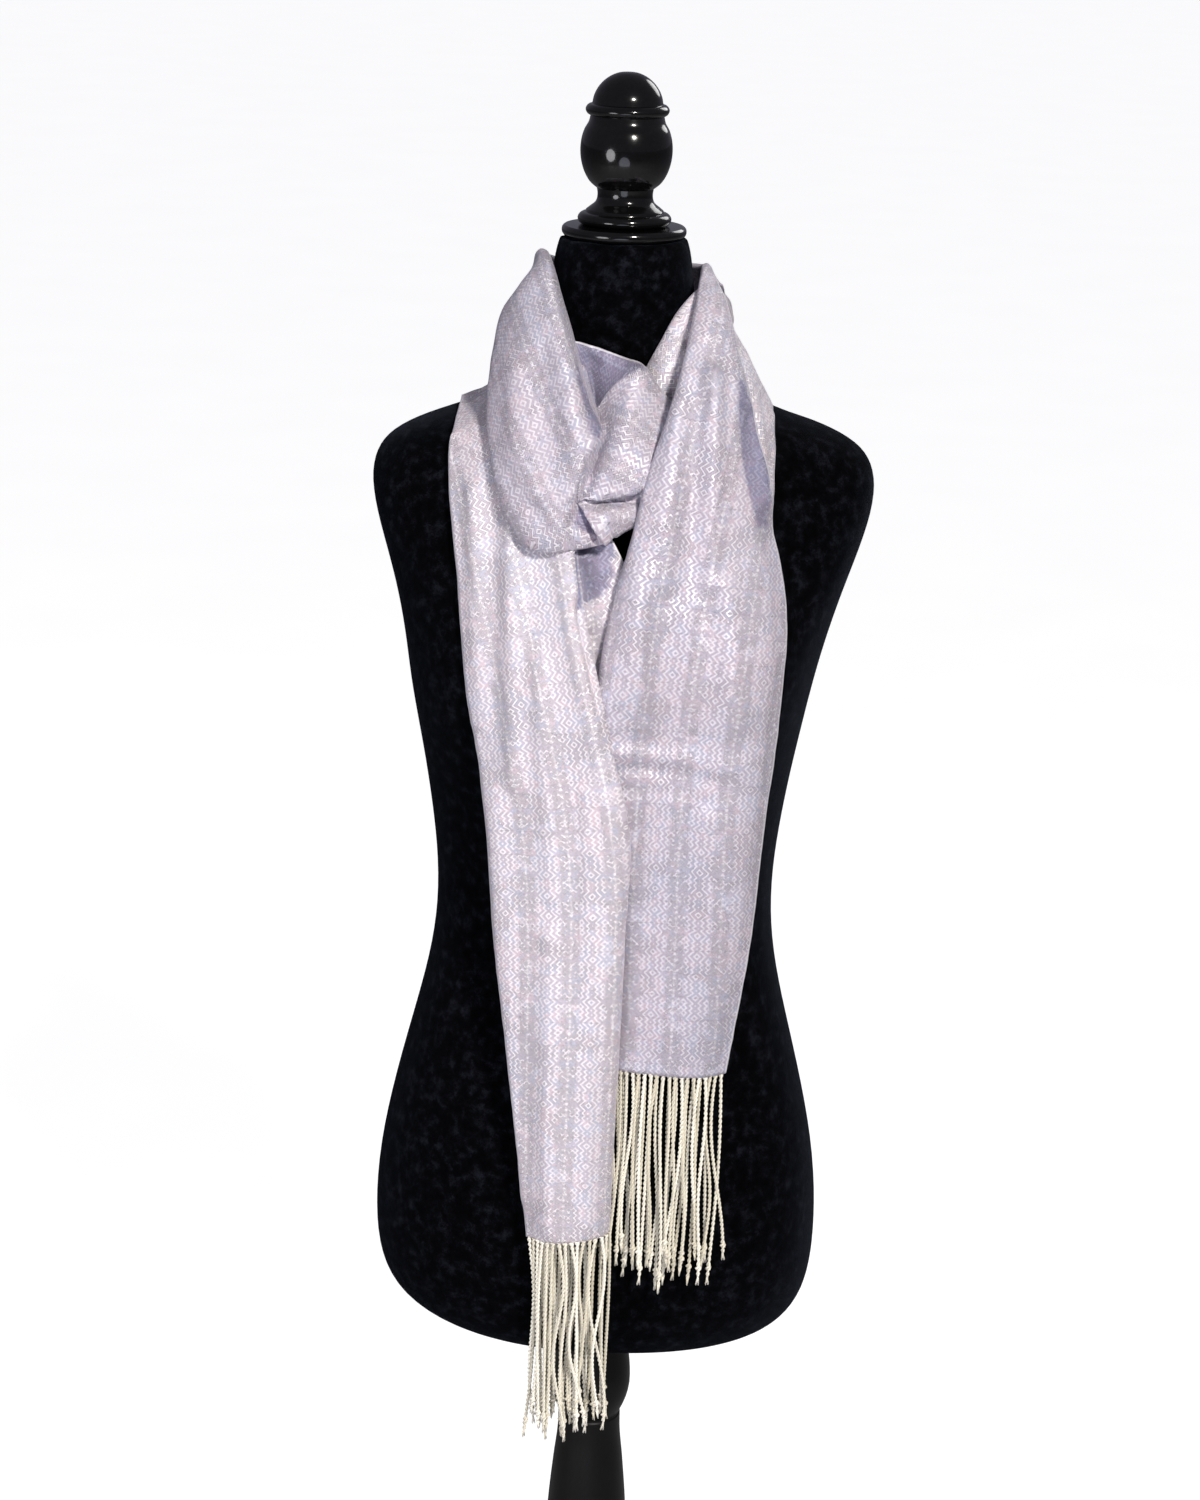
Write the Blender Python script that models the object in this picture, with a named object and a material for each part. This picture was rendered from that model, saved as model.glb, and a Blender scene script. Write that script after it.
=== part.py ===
"""A woven neck scarf, looped once round the neck of a limbless dress form on a turned stand.

Metres, +Z up.  The form faces -Y, its pole stands on the Z axis and the base rests on Z = 0.
The scarf is one long cloth with a twisted fringe on both ends.  It is built in two runs, and
each run is parted into the stretches that show:

  first run    left tail -> over the left shoulder -> behind the neck -> right shoulder band
  second run   front loop -> behind the neck again -> right tail

A run is a thin wall lofted through cross-sections.  A row of a table places each section by its
brim (the outer edge) and its fold (the edge beside the neck), and says how much cloth is turned
under at that fold.
"""

import bmesh
import bpy
import numpy as np
from math import cos, pi, radians, sin
from mathutils import Vector
from mathutils.bvhtree import BVHTree

# ----------------------------------------------------------------------------- driving sizes

GAP = 0.0003               # clearance between pieces that touch
CLOTH = 0.0012             # cloth wall
LAYER = 0.0036             # from one layer of a fold to the next

FORM_SIDES = 32
FORM_BOTTOM = 0.567
FORM_TOP = 1.408

BASE_RADIUS = 0.190
BASE_THICK = 0.022

HEADER_HEIGHT = 0.004      # strip that the fringe's roots are fused into
STRAND = 0.0021            # side of one strand
STRANDS = 38               # strands on each end
FRINGE_LENGTH = 0.150

# The form's rings: height, half width, depth in front of and behind the pole, how far the
# ring's middle lies to the viewer's right of the pole, and the squareness of its outline.
FORM_ROWS = (
    # height  half    front   back    lean    square
    (1.4080, 0.0455, 0.0455, 0.0455, 0.000, 2.0),
    (1.3920, 0.0500, 0.0500, 0.0500, 0.000, 2.0),
    (1.3600, 0.0518, 0.0525, 0.0540, 0.000, 2.0),
    (1.3300, 0.0570, 0.0555, 0.0620, 0.001, 2.0),
    (1.3080, 0.0720, 0.0580, 0.0690, 0.002, 2.0),
    (1.2950, 0.0920, 0.0610, 0.0730, 0.003, 2.0),
    (1.2840, 0.1180, 0.0640, 0.0760, 0.004, 2.0),
    (1.2740, 0.1500, 0.0670, 0.0790, 0.005, 2.1),
    (1.2630, 0.1710, 0.0705, 0.0810, 0.005, 2.2),
    (1.2500, 0.1810, 0.0745, 0.0830, 0.005, 2.3),
    (1.2300, 0.1845, 0.0815, 0.0855, 0.005, 2.4),
    (1.2000, 0.1785, 0.0945, 0.0890, 0.005, 2.4),
    (1.1600, 0.1650, 0.1130, 0.0895, 0.004, 2.4),
    (1.1200, 0.1550, 0.1260, 0.0860, 0.002, 2.4),
    (1.0850, 0.1490, 0.1275, 0.0815, 0.000, 2.4),
    (1.0500, 0.1425, 0.1165, 0.0765, 0.000, 2.4),
    (1.0100, 0.1355, 0.1030, 0.0720, 0.000, 2.3),
    (0.9600, 0.1285, 0.0910, 0.0695, 0.000, 2.2),
    (0.9150, 0.1258, 0.0860, 0.0735, 0.000, 2.2),
    (0.8700, 0.1300, 0.0890, 0.0820, 0.000, 2.2),
    (0.8200, 0.1420, 0.0965, 0.0950, 0.000, 2.2),
    (0.7600, 0.1580, 0.1055, 0.1095, 0.000, 2.2),
    (0.7000, 0.1700, 0.1130, 0.1180, 0.000, 2.2),
    (0.6500, 0.1728, 0.1160, 0.1190, 0.000, 2.2),
    (0.6150, 0.1700, 0.1145, 0.1165, 0.001, 2.2),
    (0.5920, 0.1610, 0.1085, 0.1100, 0.004, 2.2),
    (0.5770, 0.1450, 0.0990, 0.0990, 0.009, 2.2),
    (0.5695, 0.1280, 0.0880, 0.0880, 0.013, 2.2),
    (0.5670, 0.1120, 0.0760, 0.0760, 0.016, 2.2),
)

# Turned pieces: height and radius, from the top down.
CAP_PROFILE = (
    (1.5230, 0.0000), (1.5222, 0.0070), (1.5190, 0.0140), (1.5135, 0.0200), (1.5060, 0.0240),
    (1.5010, 0.0250), (1.5000, 0.0280), (1.4970, 0.0296), (1.4935, 0.0285), (1.4925, 0.0262),
    (1.4885, 0.0268), (1.4830, 0.0300), (1.4760, 0.0320), (1.4690, 0.0326), (1.4600, 0.0316),
    (1.4520, 0.0288), (1.4460, 0.0248), (1.4430, 0.0212), (1.4380, 0.0196), (1.4330, 0.0206),
    (1.4290, 0.0250), (1.4270, 0.0275), (1.4255, 0.0280), (1.4245, 0.0315), (1.4215, 0.0333),
    (1.4180, 0.0325), (1.4165, 0.0300), (1.4160, 0.0425), (1.4145, 0.0441), (1.4105, 0.0441),
    (1.4088, 0.0425), (FORM_TOP + GAP, 0.0400), (FORM_TOP + GAP, 0.0000),
)
COLUMN_PROFILE = (
    (FORM_BOTTOM - GAP, 0.0000), (FORM_BOTTOM - GAP, 0.0300), (0.5600, 0.0300), (0.5480, 0.0278),
    (0.5300, 0.0295), (0.5120, 0.0315), (0.4980, 0.0315), (0.4850, 0.0285), (0.4740, 0.0243),
    (0.4600, 0.0248), (0.4300, 0.0278), (0.3900, 0.0312), (0.3400, 0.0325), (0.2800, 0.0305),
    (0.2000, 0.0260), (0.1200, 0.0225), (0.0750, 0.0225), (0.0600, 0.0260), (0.0450, 0.0340),
    (0.0300, 0.0400), (BASE_THICK + GAP, 0.0400), (BASE_THICK + GAP, 0.0000),
)
BASE_PROFILE = (
    (BASE_THICK, 0.0000), (BASE_THICK, 0.0600), (0.0205, 0.1400), (0.0175, 0.1780),
    (0.0145, 0.1850), (0.0110, BASE_RADIUS), (0.0040, BASE_RADIUS), (0.0000, 0.1860),
    (0.0000, 0.0000),
)

# First run, left tail, from the hem up: height, the brim (its left edge) and the fold (its
# right edge) as x and y, how far the middle stands proud, how far the cloth turns back under
# the fold, how wide the last layer is, and how far that layer's end sinks towards the form.
LEFT_TAIL_ROWS = (
    # height brim_x   brim_y   fold_x   fold_y   crown   turn   tuck   sink
    (0.686, -0.0508, -0.1265, 0.0100, -0.1340, 0.0150, 0.052, 0.038, 0.000),
    (0.760, -0.0580, -0.1250, 0.0112, -0.1360, 0.0145, 0.053, 0.038, 0.000),
    (0.840, -0.0680, -0.1210, 0.0130, -0.1395, 0.0130, 0.054, 0.036, 0.000),
    (0.920, -0.0790, -0.1160, 0.0140, -0.1420, 0.0110, 0.055, 0.032, 0.000),
    (1.000, -0.0855, -0.1130, 0.0145, -0.1450, 0.0090, 0.056, 0.028, 0.002),
    (1.055, -0.0935, -0.1100, 0.0010, -0.1475, 0.0080, 0.050, 0.028, 0.006),
    (1.100, -0.1020, -0.1070, -0.0090, -0.1465, 0.0075, 0.042, 0.039, 0.010),
    (1.140, -0.1065, -0.1010, -0.0182, -0.1405, 0.0070, 0.036, 0.060, 0.012),
    (1.175, -0.1100, -0.0930, -0.0252, -0.1300, 0.0065, 0.034, 0.064, 0.005),
    (1.207, -0.1143, -0.0835, -0.0290, -0.1190, 0.0060, 0.034, 0.054, 0.003),
    (1.237, -0.1180, -0.0730, -0.0350, -0.1040, 0.0070, 0.036, 0.044, 0.000),
    (1.262, -0.1195, -0.0590, -0.0450, -0.0930, 0.0060, 0.038, 0.040, 0.000),
)
# First run round the neck: turn (0 is the form's front, 90 the viewer's left, 180 the back),
# then the brim and the fold as distance from the pole and height.
FIRST_TURN_ROWS = (
    # turn  brim_r  brim_z  fold_r  fold_z  crown    turn   tuck
    (69.0, 0.1262, 1.2760, 0.0760, 1.3220, -0.004, 0.034, 0.032),
    (90.0, 0.1200, 1.2830, 0.0660, 1.3420, -0.009, 0.034, 0.030),
    (118., 0.1190, 1.2720, 0.0650, 1.3500, -0.006, 0.036, 0.032),
    (150., 0.1140, 1.2640, 0.0680, 1.3540, 0.004, 0.038, 0.034),
    (180., 0.1110, 1.2590, 0.0700, 1.3540, 0.007, 0.038, 0.034),
    (210., 0.1110, 1.2640, 0.0680, 1.3560, 0.006, 0.038, 0.034),
    (242., 0.1110, 1.2780, 0.0630, 1.3660, 0.004, 0.036, 0.032),
    (270., 0.1085, 1.2880, 0.0600, 1.3740, 0.003, 0.034, 0.030),
)
# First run, right shoulder band, down to its end beneath the loop.
RIGHT_BAND_ROWS = (
    # brim_x brim_y   brim_z  fold_x  fold_y   fold_z  crown  turn   tuck
    (0.1090, -0.0330, 1.2800, 0.0530, -0.0400, 1.3770, 0.004, 0.034, 0.030),
    (0.1090, -0.0600, 1.2550, 0.0400, -0.0520, 1.3635, 0.006, 0.034, 0.030),
    (0.1070, -0.0790, 1.2240, 0.0290, -0.0590, 1.3450, 0.006, 0.030, 0.026),
    (0.0930, -0.0910, 1.2100, 0.0185, -0.0640, 1.3260, 0.006, 0.026, 0.022),
    (0.0680, -0.1000, 1.2060, 0.0100, -0.0680, 1.3060, 0.006, 0.024, 0.020),
)
# Second run, front loop, from its end under the right tail to the left side of the neck.  Each
# row is one section as x, y and height: the free edge by the neck, the valley, the swell, the
# lip of the fold and its bottom or crest, then the outer face, the ridge, the brim and the hem
# turned under.
LOOP_ROWS = (
    # edge, valley, swell
    # lip, crest, face
    # ridge, brim, hem
    ((0.055, -0.084, 1.296), (0.054, -0.098, 1.286), (0.051, -0.108, 1.274),
     (0.049, -0.113, 1.260), (0.048, -0.108, 1.248), (0.046, -0.114, 1.242),
     (0.045, -0.117, 1.237), (0.044, -0.113, 1.228), (0.046, -0.102, 1.233)),
    ((0.038, -0.084, 1.302), (0.033, -0.098, 1.292), (0.027, -0.112, 1.277),
     (0.021, -0.121, 1.255), (0.020, -0.111, 1.243), (0.018, -0.119, 1.238),
     (0.016, -0.122, 1.232), (0.014, -0.118, 1.226), (0.016, -0.104, 1.231)),
    ((0.016, -0.076, 1.329), (0.013, -0.090, 1.314), (0.008, -0.113, 1.290),
     (0.003, -0.124, 1.253), (0.002, -0.115, 1.243), (0.002, -0.124, 1.238),
     (0.001, -0.128, 1.231), (0.000, -0.123, 1.219), (0.003, -0.111, 1.226)),
    ((0.001, -0.072, 1.335), (0.000, -0.080, 1.309), (-0.008, -0.108, 1.282),
     (-0.015, -0.125, 1.249), (-0.015, -0.120, 1.243), (-0.013, -0.129, 1.236),
     (-0.011, -0.132, 1.227), (-0.010, -0.126, 1.213), (-0.008, -0.114, 1.221)),
    ((-0.014, -0.070, 1.340), (-0.008, -0.078, 1.299), (-0.015, -0.098, 1.273),
     (-0.023, -0.120, 1.247), (-0.025, -0.126, 1.243), (-0.026, -0.122, 1.232),
     (-0.026, -0.131, 1.222), (-0.025, -0.127, 1.210), (-0.021, -0.119, 1.218)),
    ((-0.023, -0.069, 1.342), (-0.012, -0.078, 1.294), (-0.013, -0.094, 1.276),
     (-0.018, -0.114, 1.262), (-0.022, -0.126, 1.260), (-0.033, -0.134, 1.240),
     (-0.040, -0.134, 1.224), (-0.042, -0.128, 1.207), (-0.036, -0.122, 1.216)),
    ((-0.030, -0.067, 1.344), (-0.016, -0.076, 1.300), (-0.012, -0.090, 1.287),
     (-0.012, -0.109, 1.285), (-0.016, -0.120, 1.287), (-0.037, -0.132, 1.259),
     (-0.054, -0.132, 1.231), (-0.060, -0.124, 1.209), (-0.052, -0.119, 1.218)),
    ((-0.037, -0.062, 1.346), (-0.025, -0.070, 1.322), (-0.020, -0.084, 1.309),
     (-0.020, -0.099, 1.308), (-0.024, -0.108, 1.311), (-0.046, -0.122, 1.280),
     (-0.065, -0.120, 1.248), (-0.075, -0.110, 1.227), (-0.063, -0.096, 1.232)),
    ((-0.042, -0.053, 1.348), (-0.034, -0.060, 1.338), (-0.029, -0.070, 1.330),
     (-0.028, -0.084, 1.330), (-0.032, -0.093, 1.333), (-0.055, -0.106, 1.307),
     (-0.076, -0.103, 1.277), (-0.086, -0.090, 1.260), (-0.074, -0.078, 1.261)),
    ((-0.047, -0.042, 1.350), (-0.041, -0.047, 1.350), (-0.036, -0.054, 1.350),
     (-0.035, -0.066, 1.351), (-0.039, -0.075, 1.354), (-0.060, -0.086, 1.335),
     (-0.082, -0.080, 1.313), (-0.092, -0.066, 1.300), (-0.081, -0.054, 1.296)),
    ((-0.053, -0.026, 1.352), (-0.048, -0.031, 1.360), (-0.043, -0.036, 1.367),
     (-0.043, -0.047, 1.373), (-0.046, -0.055, 1.377), (-0.064, -0.063, 1.361),
     (-0.082, -0.055, 1.343), (-0.090, -0.040, 1.331), (-0.082, -0.034, 1.322)),
    ((-0.056, -0.008, 1.354), (-0.053, -0.012, 1.370), (-0.049, -0.018, 1.382),
     (-0.050, -0.026, 1.393), (-0.053, -0.034, 1.397), (-0.066, -0.038, 1.384),
     (-0.079, -0.031, 1.367), (-0.085, -0.020, 1.352), (-0.078, -0.014, 1.342)),
)
# Second run behind the neck: as the first run's turn; `under` is the width of the layer that
# the fold hides.
SECOND_TURN_ROWS = (
    # turn  fold_r  fold_z  brim_r  brim_z  crown   under
    (88.0, 0.0575, 1.3980, 0.0820, 1.3440, 0.000, 0.036),
    (110., 0.0600, 1.3920, 0.0850, 1.3350, 0.001, 0.036),
    (145., 0.0690, 1.3830, 0.0970, 1.3210, 0.005, 0.036),
    (180., 0.0760, 1.3800, 0.1040, 1.3130, 0.006, 0.036),
    (215., 0.0720, 1.3820, 0.0980, 1.3220, 0.004, 0.036),
    (246., 0.0640, 1.3860, 0.0850, 1.3380, 0.001, 0.032),
    (268., 0.0595, 1.3900, 0.0730, 1.3620, 0.001, 0.028),
)
# Second run, right tail, from the neck down: height, then fold (left edge), ridge and brim (right
# edge) as x and y, how far the front stands proud between fold and ridge, and the width under.
RIGHT_TAIL_ROWS = (
    # height fold_x   fold_y   ridge_x ridge_y  brim_x  brim_y   crown   under
    (1.382, 0.0540, -0.0440, 0.0610, -0.0420, 0.0665, -0.0300, 0.001, 0.018),
    (1.366, 0.0514, -0.0700, 0.0695, -0.0690, 0.0747, -0.0520, 0.002, 0.022),
    (1.343, 0.0464, -0.0900, 0.0757, -0.0880, 0.0805, -0.0720, 0.004, 0.026),
    (1.318, 0.0398, -0.1060, 0.0782, -0.1040, 0.0850, -0.0890, 0.005, 0.032),
    (1.292, 0.0322, -0.1180, 0.0802, -0.1150, 0.0886, -0.0970, 0.006, 0.040),
    (1.258, 0.0216, -0.1260, 0.0849, -0.1200, 0.0990, -0.1000, 0.006, 0.048),
    (1.227, 0.0150, -0.1300, 0.0952, -0.1190, 0.1079, -0.1030, 0.006, 0.052),
    (1.192, 0.0065, -0.1330, 0.1050, -0.1210, 0.1170, -0.1060, 0.006, 0.054),
    (1.157, -0.0018, -0.1365, 0.1090, -0.1260, 0.1218, -0.1110, 0.006, 0.054),
    (1.115, -0.0086, -0.1378, 0.1093, -0.1300, 0.1207, -0.1150, 0.004, 0.056),
    (1.070, -0.0081, -0.1320, 0.1063, -0.1310, 0.1176, -0.1180, 0.003, 0.060),
    (1.008, -0.0035, -0.1265, 0.1012, -0.1310, 0.1118, -0.1190, 0.004, 0.066),
    (0.935, 0.0013, -0.1215, 0.0964, -0.1300, 0.1070, -0.1200, 0.006, 0.072),
    (0.819, 0.0061, -0.1212, 0.0772, -0.1290, 0.0921, -0.1205, 0.007, 0.078),
)

# Where the runs are parted into stretches, by the row they reach.
FIRST_RUN_PARTS = (("left_tail", 0.0, 13.5), ("neck_turn_inner", 13.5, 18.6), ("right_shoulder_band", 18.6, 24.0))
SECOND_RUN_PARTS = (("front_loop", 0.0, 11.6), ("neck_turn_outer", 11.6, 17.6), ("right_tail", 17.6, 33.0))

# Points from one control point of a section to the next.
FIRST_RUN_STEPS = (3, 3, 3, 2, 3, 2, 2, 2)
SECOND_RUN_STEPS = (2, 2, 2, 2, 3, 3, 2, 2)
SECOND_RUN_LAYERS = (0, 0, 0, 0, 1, 1, 1, 1, 0)    # layers beneath each control point
TAIL_STEP = 0.030          # distance between sections along a tail
RUN_STEPS = {              # and in the rest of each stretch
    "left_tail": 0.018, "neck_turn_inner": 0.018, "right_shoulder_band": 0.012,
    "front_loop": 0.010, "neck_turn_outer": 0.018, "right_tail": 0.016,
}
TAIL_ROWS = {"left_tail": (0, 10), "right_tail": (24, 33)}   # rows that hang straight
GAP_ROWS = 0.02            # share of a row left open between two stretches

# The stretches that a stretch lies on, besides the form.
NEIGHBOURS = {
    "front_loop": ("left_tail", "neck_turn_inner", "right_shoulder_band"),
    "neck_turn_outer": ("left_tail", "neck_turn_inner", "right_shoulder_band"),
    "right_tail": ("neck_turn_inner", "right_shoulder_band", "front_loop"),
}
FRINGE_SWAY = 0.002

HEM_RISE = 0.14            # the tails' edges climb towards the fold by this slope
CLEAR = 0.0022             # from a lower layer's surface to the middle of the wall above it
REACH = 0.060              # how far out a layer that lies beneath is looked for
EASING = 6                 # rounds in which a lifted point's neighbours follow it

CLOTH_COLOUR = (0.74, 0.71, 0.80, 1.0)
FRINGE_COLOUR = (0.80, 0.76, 0.66, 1.0)
VELVET_COLOUR = (0.006, 0.006, 0.007, 1.0)
GLOSS_COLOUR = (0.008, 0.008, 0.008, 1.0)


# ------------------------------------------------------------------------------ smooth curves

def slopes(knots, points):
    """Slope at each knot, from the chords on its two sides."""
    spans = np.diff(knots)[:, None]
    chords = np.diff(points, axis=0) / spans
    inner = (chords[:-1] * spans[1:] + chords[1:] * spans[:-1]) / (spans[:-1] + spans[1:])
    return np.vstack((chords[:1], inner, chords[-1:]))


def smooth(knots, points, wanted):
    """Points at the parameters `wanted` on the smooth curve through `points`."""
    knots, points, wanted = (np.asarray(values, float) for values in (knots, points, wanted))
    slope = slopes(knots, points)
    index = np.clip(np.searchsorted(knots, wanted, side="right") - 1, 0, len(knots) - 2)
    span = (knots[index + 1] - knots[index])[:, None]
    t = (wanted[:, None] - knots[index][:, None]) / span
    return ((2 * t**3 - 3 * t**2 + 1) * points[index] + (t**3 - 2 * t**2 + t) * span * slope[index]
            + (3 * t**2 - 2 * t**3) * points[index + 1] + (t**3 - t**2) * span * slope[index + 1])


def chord_knots(points):
    """Parameters that follow the distance between points."""
    return np.concatenate(([0.0], np.cumsum(np.linalg.norm(np.diff(points, axis=0), axis=-1))))


def section_curve(controls, steps):
    """One section: the smooth curve through its control points, `steps` points between each."""
    knots = chord_knots(controls[:, :3])
    wanted = [knots[0]]
    for start, end, count in zip(knots[:-1], knots[1:], steps):
        wanted += [start + (end - start) * (i + 1) / count for i in range(count)]
    return smooth(knots, controls, wanted)


def along_curve(points, distances):
    """Points at the given distances along a curve."""
    knots = chord_knots(points)
    return np.array([[np.interp(d, knots, points[:, axis]) for axis in range(3)] for d in distances])


# ----------------------------------------------------------------------- the scarf's sections

def at_turn(turn, radius, height):
    """A point by its turn about the pole: 0 in front, 90 at the viewer's left."""
    angle = radians(turn)
    return np.array((-radius * sin(angle), -radius * cos(angle), height))


def outward(brims, folds):
    """For each section, the way that its outer face looks."""
    middles = (brims + folds) / 2
    runs = np.gradient(middles, axis=0)
    normals = np.cross(folds - brims, runs)
    return normals / np.linalg.norm(normals, axis=1)[:, None]


def first_run_rows():
    """Brim, fold, crown, turn, tuck and sink of each section of the first run."""
    rows = []
    for height, bx, by, fx, fy, crown, turn, tuck, sink in LEFT_TAIL_ROWS:
        rows.append(((bx, by, height), (fx, fy, height + HEM_RISE * (fx - bx)), crown, turn, tuck, sink))
    for angle, brim_r, brim_z, fold_r, fold_z, crown, turn, tuck in FIRST_TURN_ROWS:
        rows.append((at_turn(angle, brim_r, brim_z), at_turn(angle, fold_r, fold_z),
                     crown, turn, tuck, 0.0))
    for bx, by, bz, fx, fy, fz, crown, turn, tuck in RIGHT_BAND_ROWS:
        rows.append(((bx, by, bz), (fx, fy, fz), crown, turn, tuck, 0.0))
    return rows


def first_run_sections():
    """Control points: the face from brim to fold, the layer turned under and the last layer.

    The fourth number of a control point is how many layers lie beneath it.
    """
    rows = first_run_rows()
    brims = np.array([row[0] for row in rows], float)
    folds = np.array([row[1] for row in rows], float)
    sections = []
    for (brim, fold, crown, turn, tuck, sink), out in zip(rows, outward(brims, folds)):
        brim, fold = np.array(brim), np.array(fold)
        width = np.linalg.norm(fold - brim)

        def face(distance, down=0.0):
            part = min(distance / width, 1.0)
            rise = 4 * crown * part * (1 - part)
            return fold + (brim - fold) * (distance / width) + out * (rise - down)

        def layers(distance):
            return float(np.interp(distance, (turn - 0.006, turn + 0.010), (2.0, 0.0)))

        sections.append((
            (*face(width), layers(width)), (*face(0.66 * width), layers(0.66 * width)),
            (*face(0.33 * width), layers(0.33 * width)), (*fold, 2.0),
            (*face(0.0, LAYER), 1.0), (*face(turn, LAYER), 1.0), (*face(turn, 2 * LAYER), 0.0),
            (*face(turn - tuck / 2, 2 * LAYER + sink / 2), 0.0),
            (*face(turn - tuck, 2 * LAYER + sink), 0.0)))
    return np.array(sections)


def second_run_sections():
    """Control points: edge, valley, swell, lip, crest, face, ridge, brim and hem."""
    sections = [np.array(row) for row in LOOP_ROWS]
    layers = np.array(SECOND_RUN_LAYERS, float)[:, None]
    rows = []
    for angle, fold_r, fold_z, brim_r, brim_z, crown, under in SECOND_TURN_ROWS:
        rows.append((at_turn(angle, brim_r, brim_z), at_turn(angle, fold_r, fold_z), None, crown, under))
    for height, fx, fy, rx, ry, bx, by, crown, under in RIGHT_TAIL_ROWS:
        rise = HEM_RISE * 0.3 * (bx - fx)
        rows.append(((bx, by, height), (fx, fy, height + rise), (rx, ry, height), crown, under))
    brims = np.array([row[0] for row in rows], float)
    folds = np.array([row[1] for row in rows], float)
    for (brim, fold, ridge, crown, under), out in zip(rows, outward(brims, folds)):
        brim, fold = np.array(brim), np.array(fold)
        ridge = fold + (brim - fold) * 0.7 + out * crown if ridge is None else np.array(ridge)
        face = fold + (ridge - fold) * 0.45 + out * crown
        near_brim = brim + (ridge - brim) * 0.3
        outer = np.array((fold, face, ridge, near_brim, brim))
        beneath = [point - out * LAYER for point in along_curve(outer, (under, under * 0.7, under * 0.35))]
        sections.append(np.array((*beneath, fold - out * LAYER, fold, face, ridge, near_brim, brim)))
    return np.array([np.hstack((section, layers)) for section in sections])


# ---------------------------------------------------------------------------- building solids

def material(name, colour, roughness):
    """A plain Principled material."""
    made = bpy.data.materials.new(name)
    made.use_nodes = True
    shader = made.node_tree.nodes["Principled BSDF"]
    shader.inputs["Base Color"].default_value = colour
    shader.inputs["Roughness"].default_value = roughness
    return made


def add_object(name, bm, finish):
    """Turn a bmesh into a scene object with a material."""
    bmesh.ops.recalc_face_normals(bm, faces=bm.faces)
    mesh = bpy.data.meshes.new(name)
    bm.to_mesh(mesh)
    bm.free()
    mesh.materials.append(finish)
    mesh.shade_smooth()
    made = bpy.data.objects.new(name, mesh)
    bpy.context.collection.objects.link(made)
    return made


def bridge(bm, rings, closed):
    """Faces between each ring of vertices and the next."""
    for lower, upper in zip(rings[:-1], rings[1:]):
        count = len(lower)
        for i in range(count if closed else count - 1):
            j = (i + 1) % count
            bm.faces.new((lower[i], lower[j], upper[j], upper[i]))


def superellipse(row, sides):
    """One ring of the form."""
    height, half, front, back, lean, square = row
    ring = []
    for i in range(sides):
        angle = 2 * pi * i / sides
        across, deep = cos(angle), sin(angle)
        depth = back if deep > 0 else front
        ring.append((lean + half * np.sign(across) * abs(across) ** (2 / square),
                     depth * np.sign(deep) * abs(deep) ** (2 / square), height))
    return ring


def build_form(finish):
    """The limbless form, a closed loft through its rings."""
    bm = bmesh.new()
    rings = [[bm.verts.new(co) for co in superellipse(row, FORM_SIDES)] for row in FORM_ROWS]
    bridge(bm, rings, closed=True)
    bm.faces.new(rings[0])
    bm.faces.new(rings[-1])
    return add_object("form_torso", bm, finish)


def build_turned(name, profile, sides, finish):
    """A piece turned on the lathe: its profile spun about the pole."""
    bm = bmesh.new()
    verts = [bm.verts.new((radius, 0.0, height)) for height, radius in profile]
    edges = [bm.edges.new(pair) for pair in zip(verts[:-1], verts[1:])]
    bmesh.ops.spin(bm, geom=verts + edges, cent=(0, 0, 0), axis=(0, 0, 1), angle=2 * pi,
                   steps=sides, use_merge=True)
    bmesh.ops.remove_doubles(bm, verts=bm.verts, dist=1e-6)
    bmesh.ops.dissolve_degenerate(bm, edges=bm.edges, dist=1e-6)
    return add_object(name, bm, finish)


def push_out(grid, form, solids):
    """Lift the points of a grid off the form and off the solids that lie on it.

    A point is lifted along the form's own normal, and its neighbours are eased along with it.
    """
    graph = bpy.context.evaluated_depsgraph_get()
    body = BVHTree.FromObject(form, graph)
    trees = [body] + [BVHTree.FromObject(solid, graph) for solid in solids]
    clearance = CLEAR + np.maximum(grid[:, :, 3], 0.0) * LAYER
    grid = grid[:, :, :3].copy()
    rows, columns = grid.shape[:2]
    normals, lift = np.zeros_like(grid), np.zeros((rows, columns))
    for i in range(rows):
        for j in range(columns):
            point = Vector(grid[i, j])
            near, normal, _, distance = body.find_nearest(point)
            depth = (point - near).dot(normal)
            if depth > 0:
                normal = (point - near) / distance if distance > 1e-5 else normal
            normals[i, j] = normal
            for tree in trees:
                hit, _, _, reach = tree.ray_cast(point + normal * REACH, -normal, 2 * REACH)
                if hit is not None:
                    lift[i, j] = max(lift[i, j], clearance[i, j] + REACH - reach)
    for number in range(EASING):
        padded = np.pad(lift, 1, mode="edge")
        around = np.array((padded[:-2, 1:-1], padded[2:, 1:-1], padded[1:-1, :-2], padded[1:-1, 2:]))
        lift = np.maximum(lift, 0.8 * (around.mean(axis=0) if number else around.max(axis=0)))
    return grid + normals * lift[:, :, None]


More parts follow.
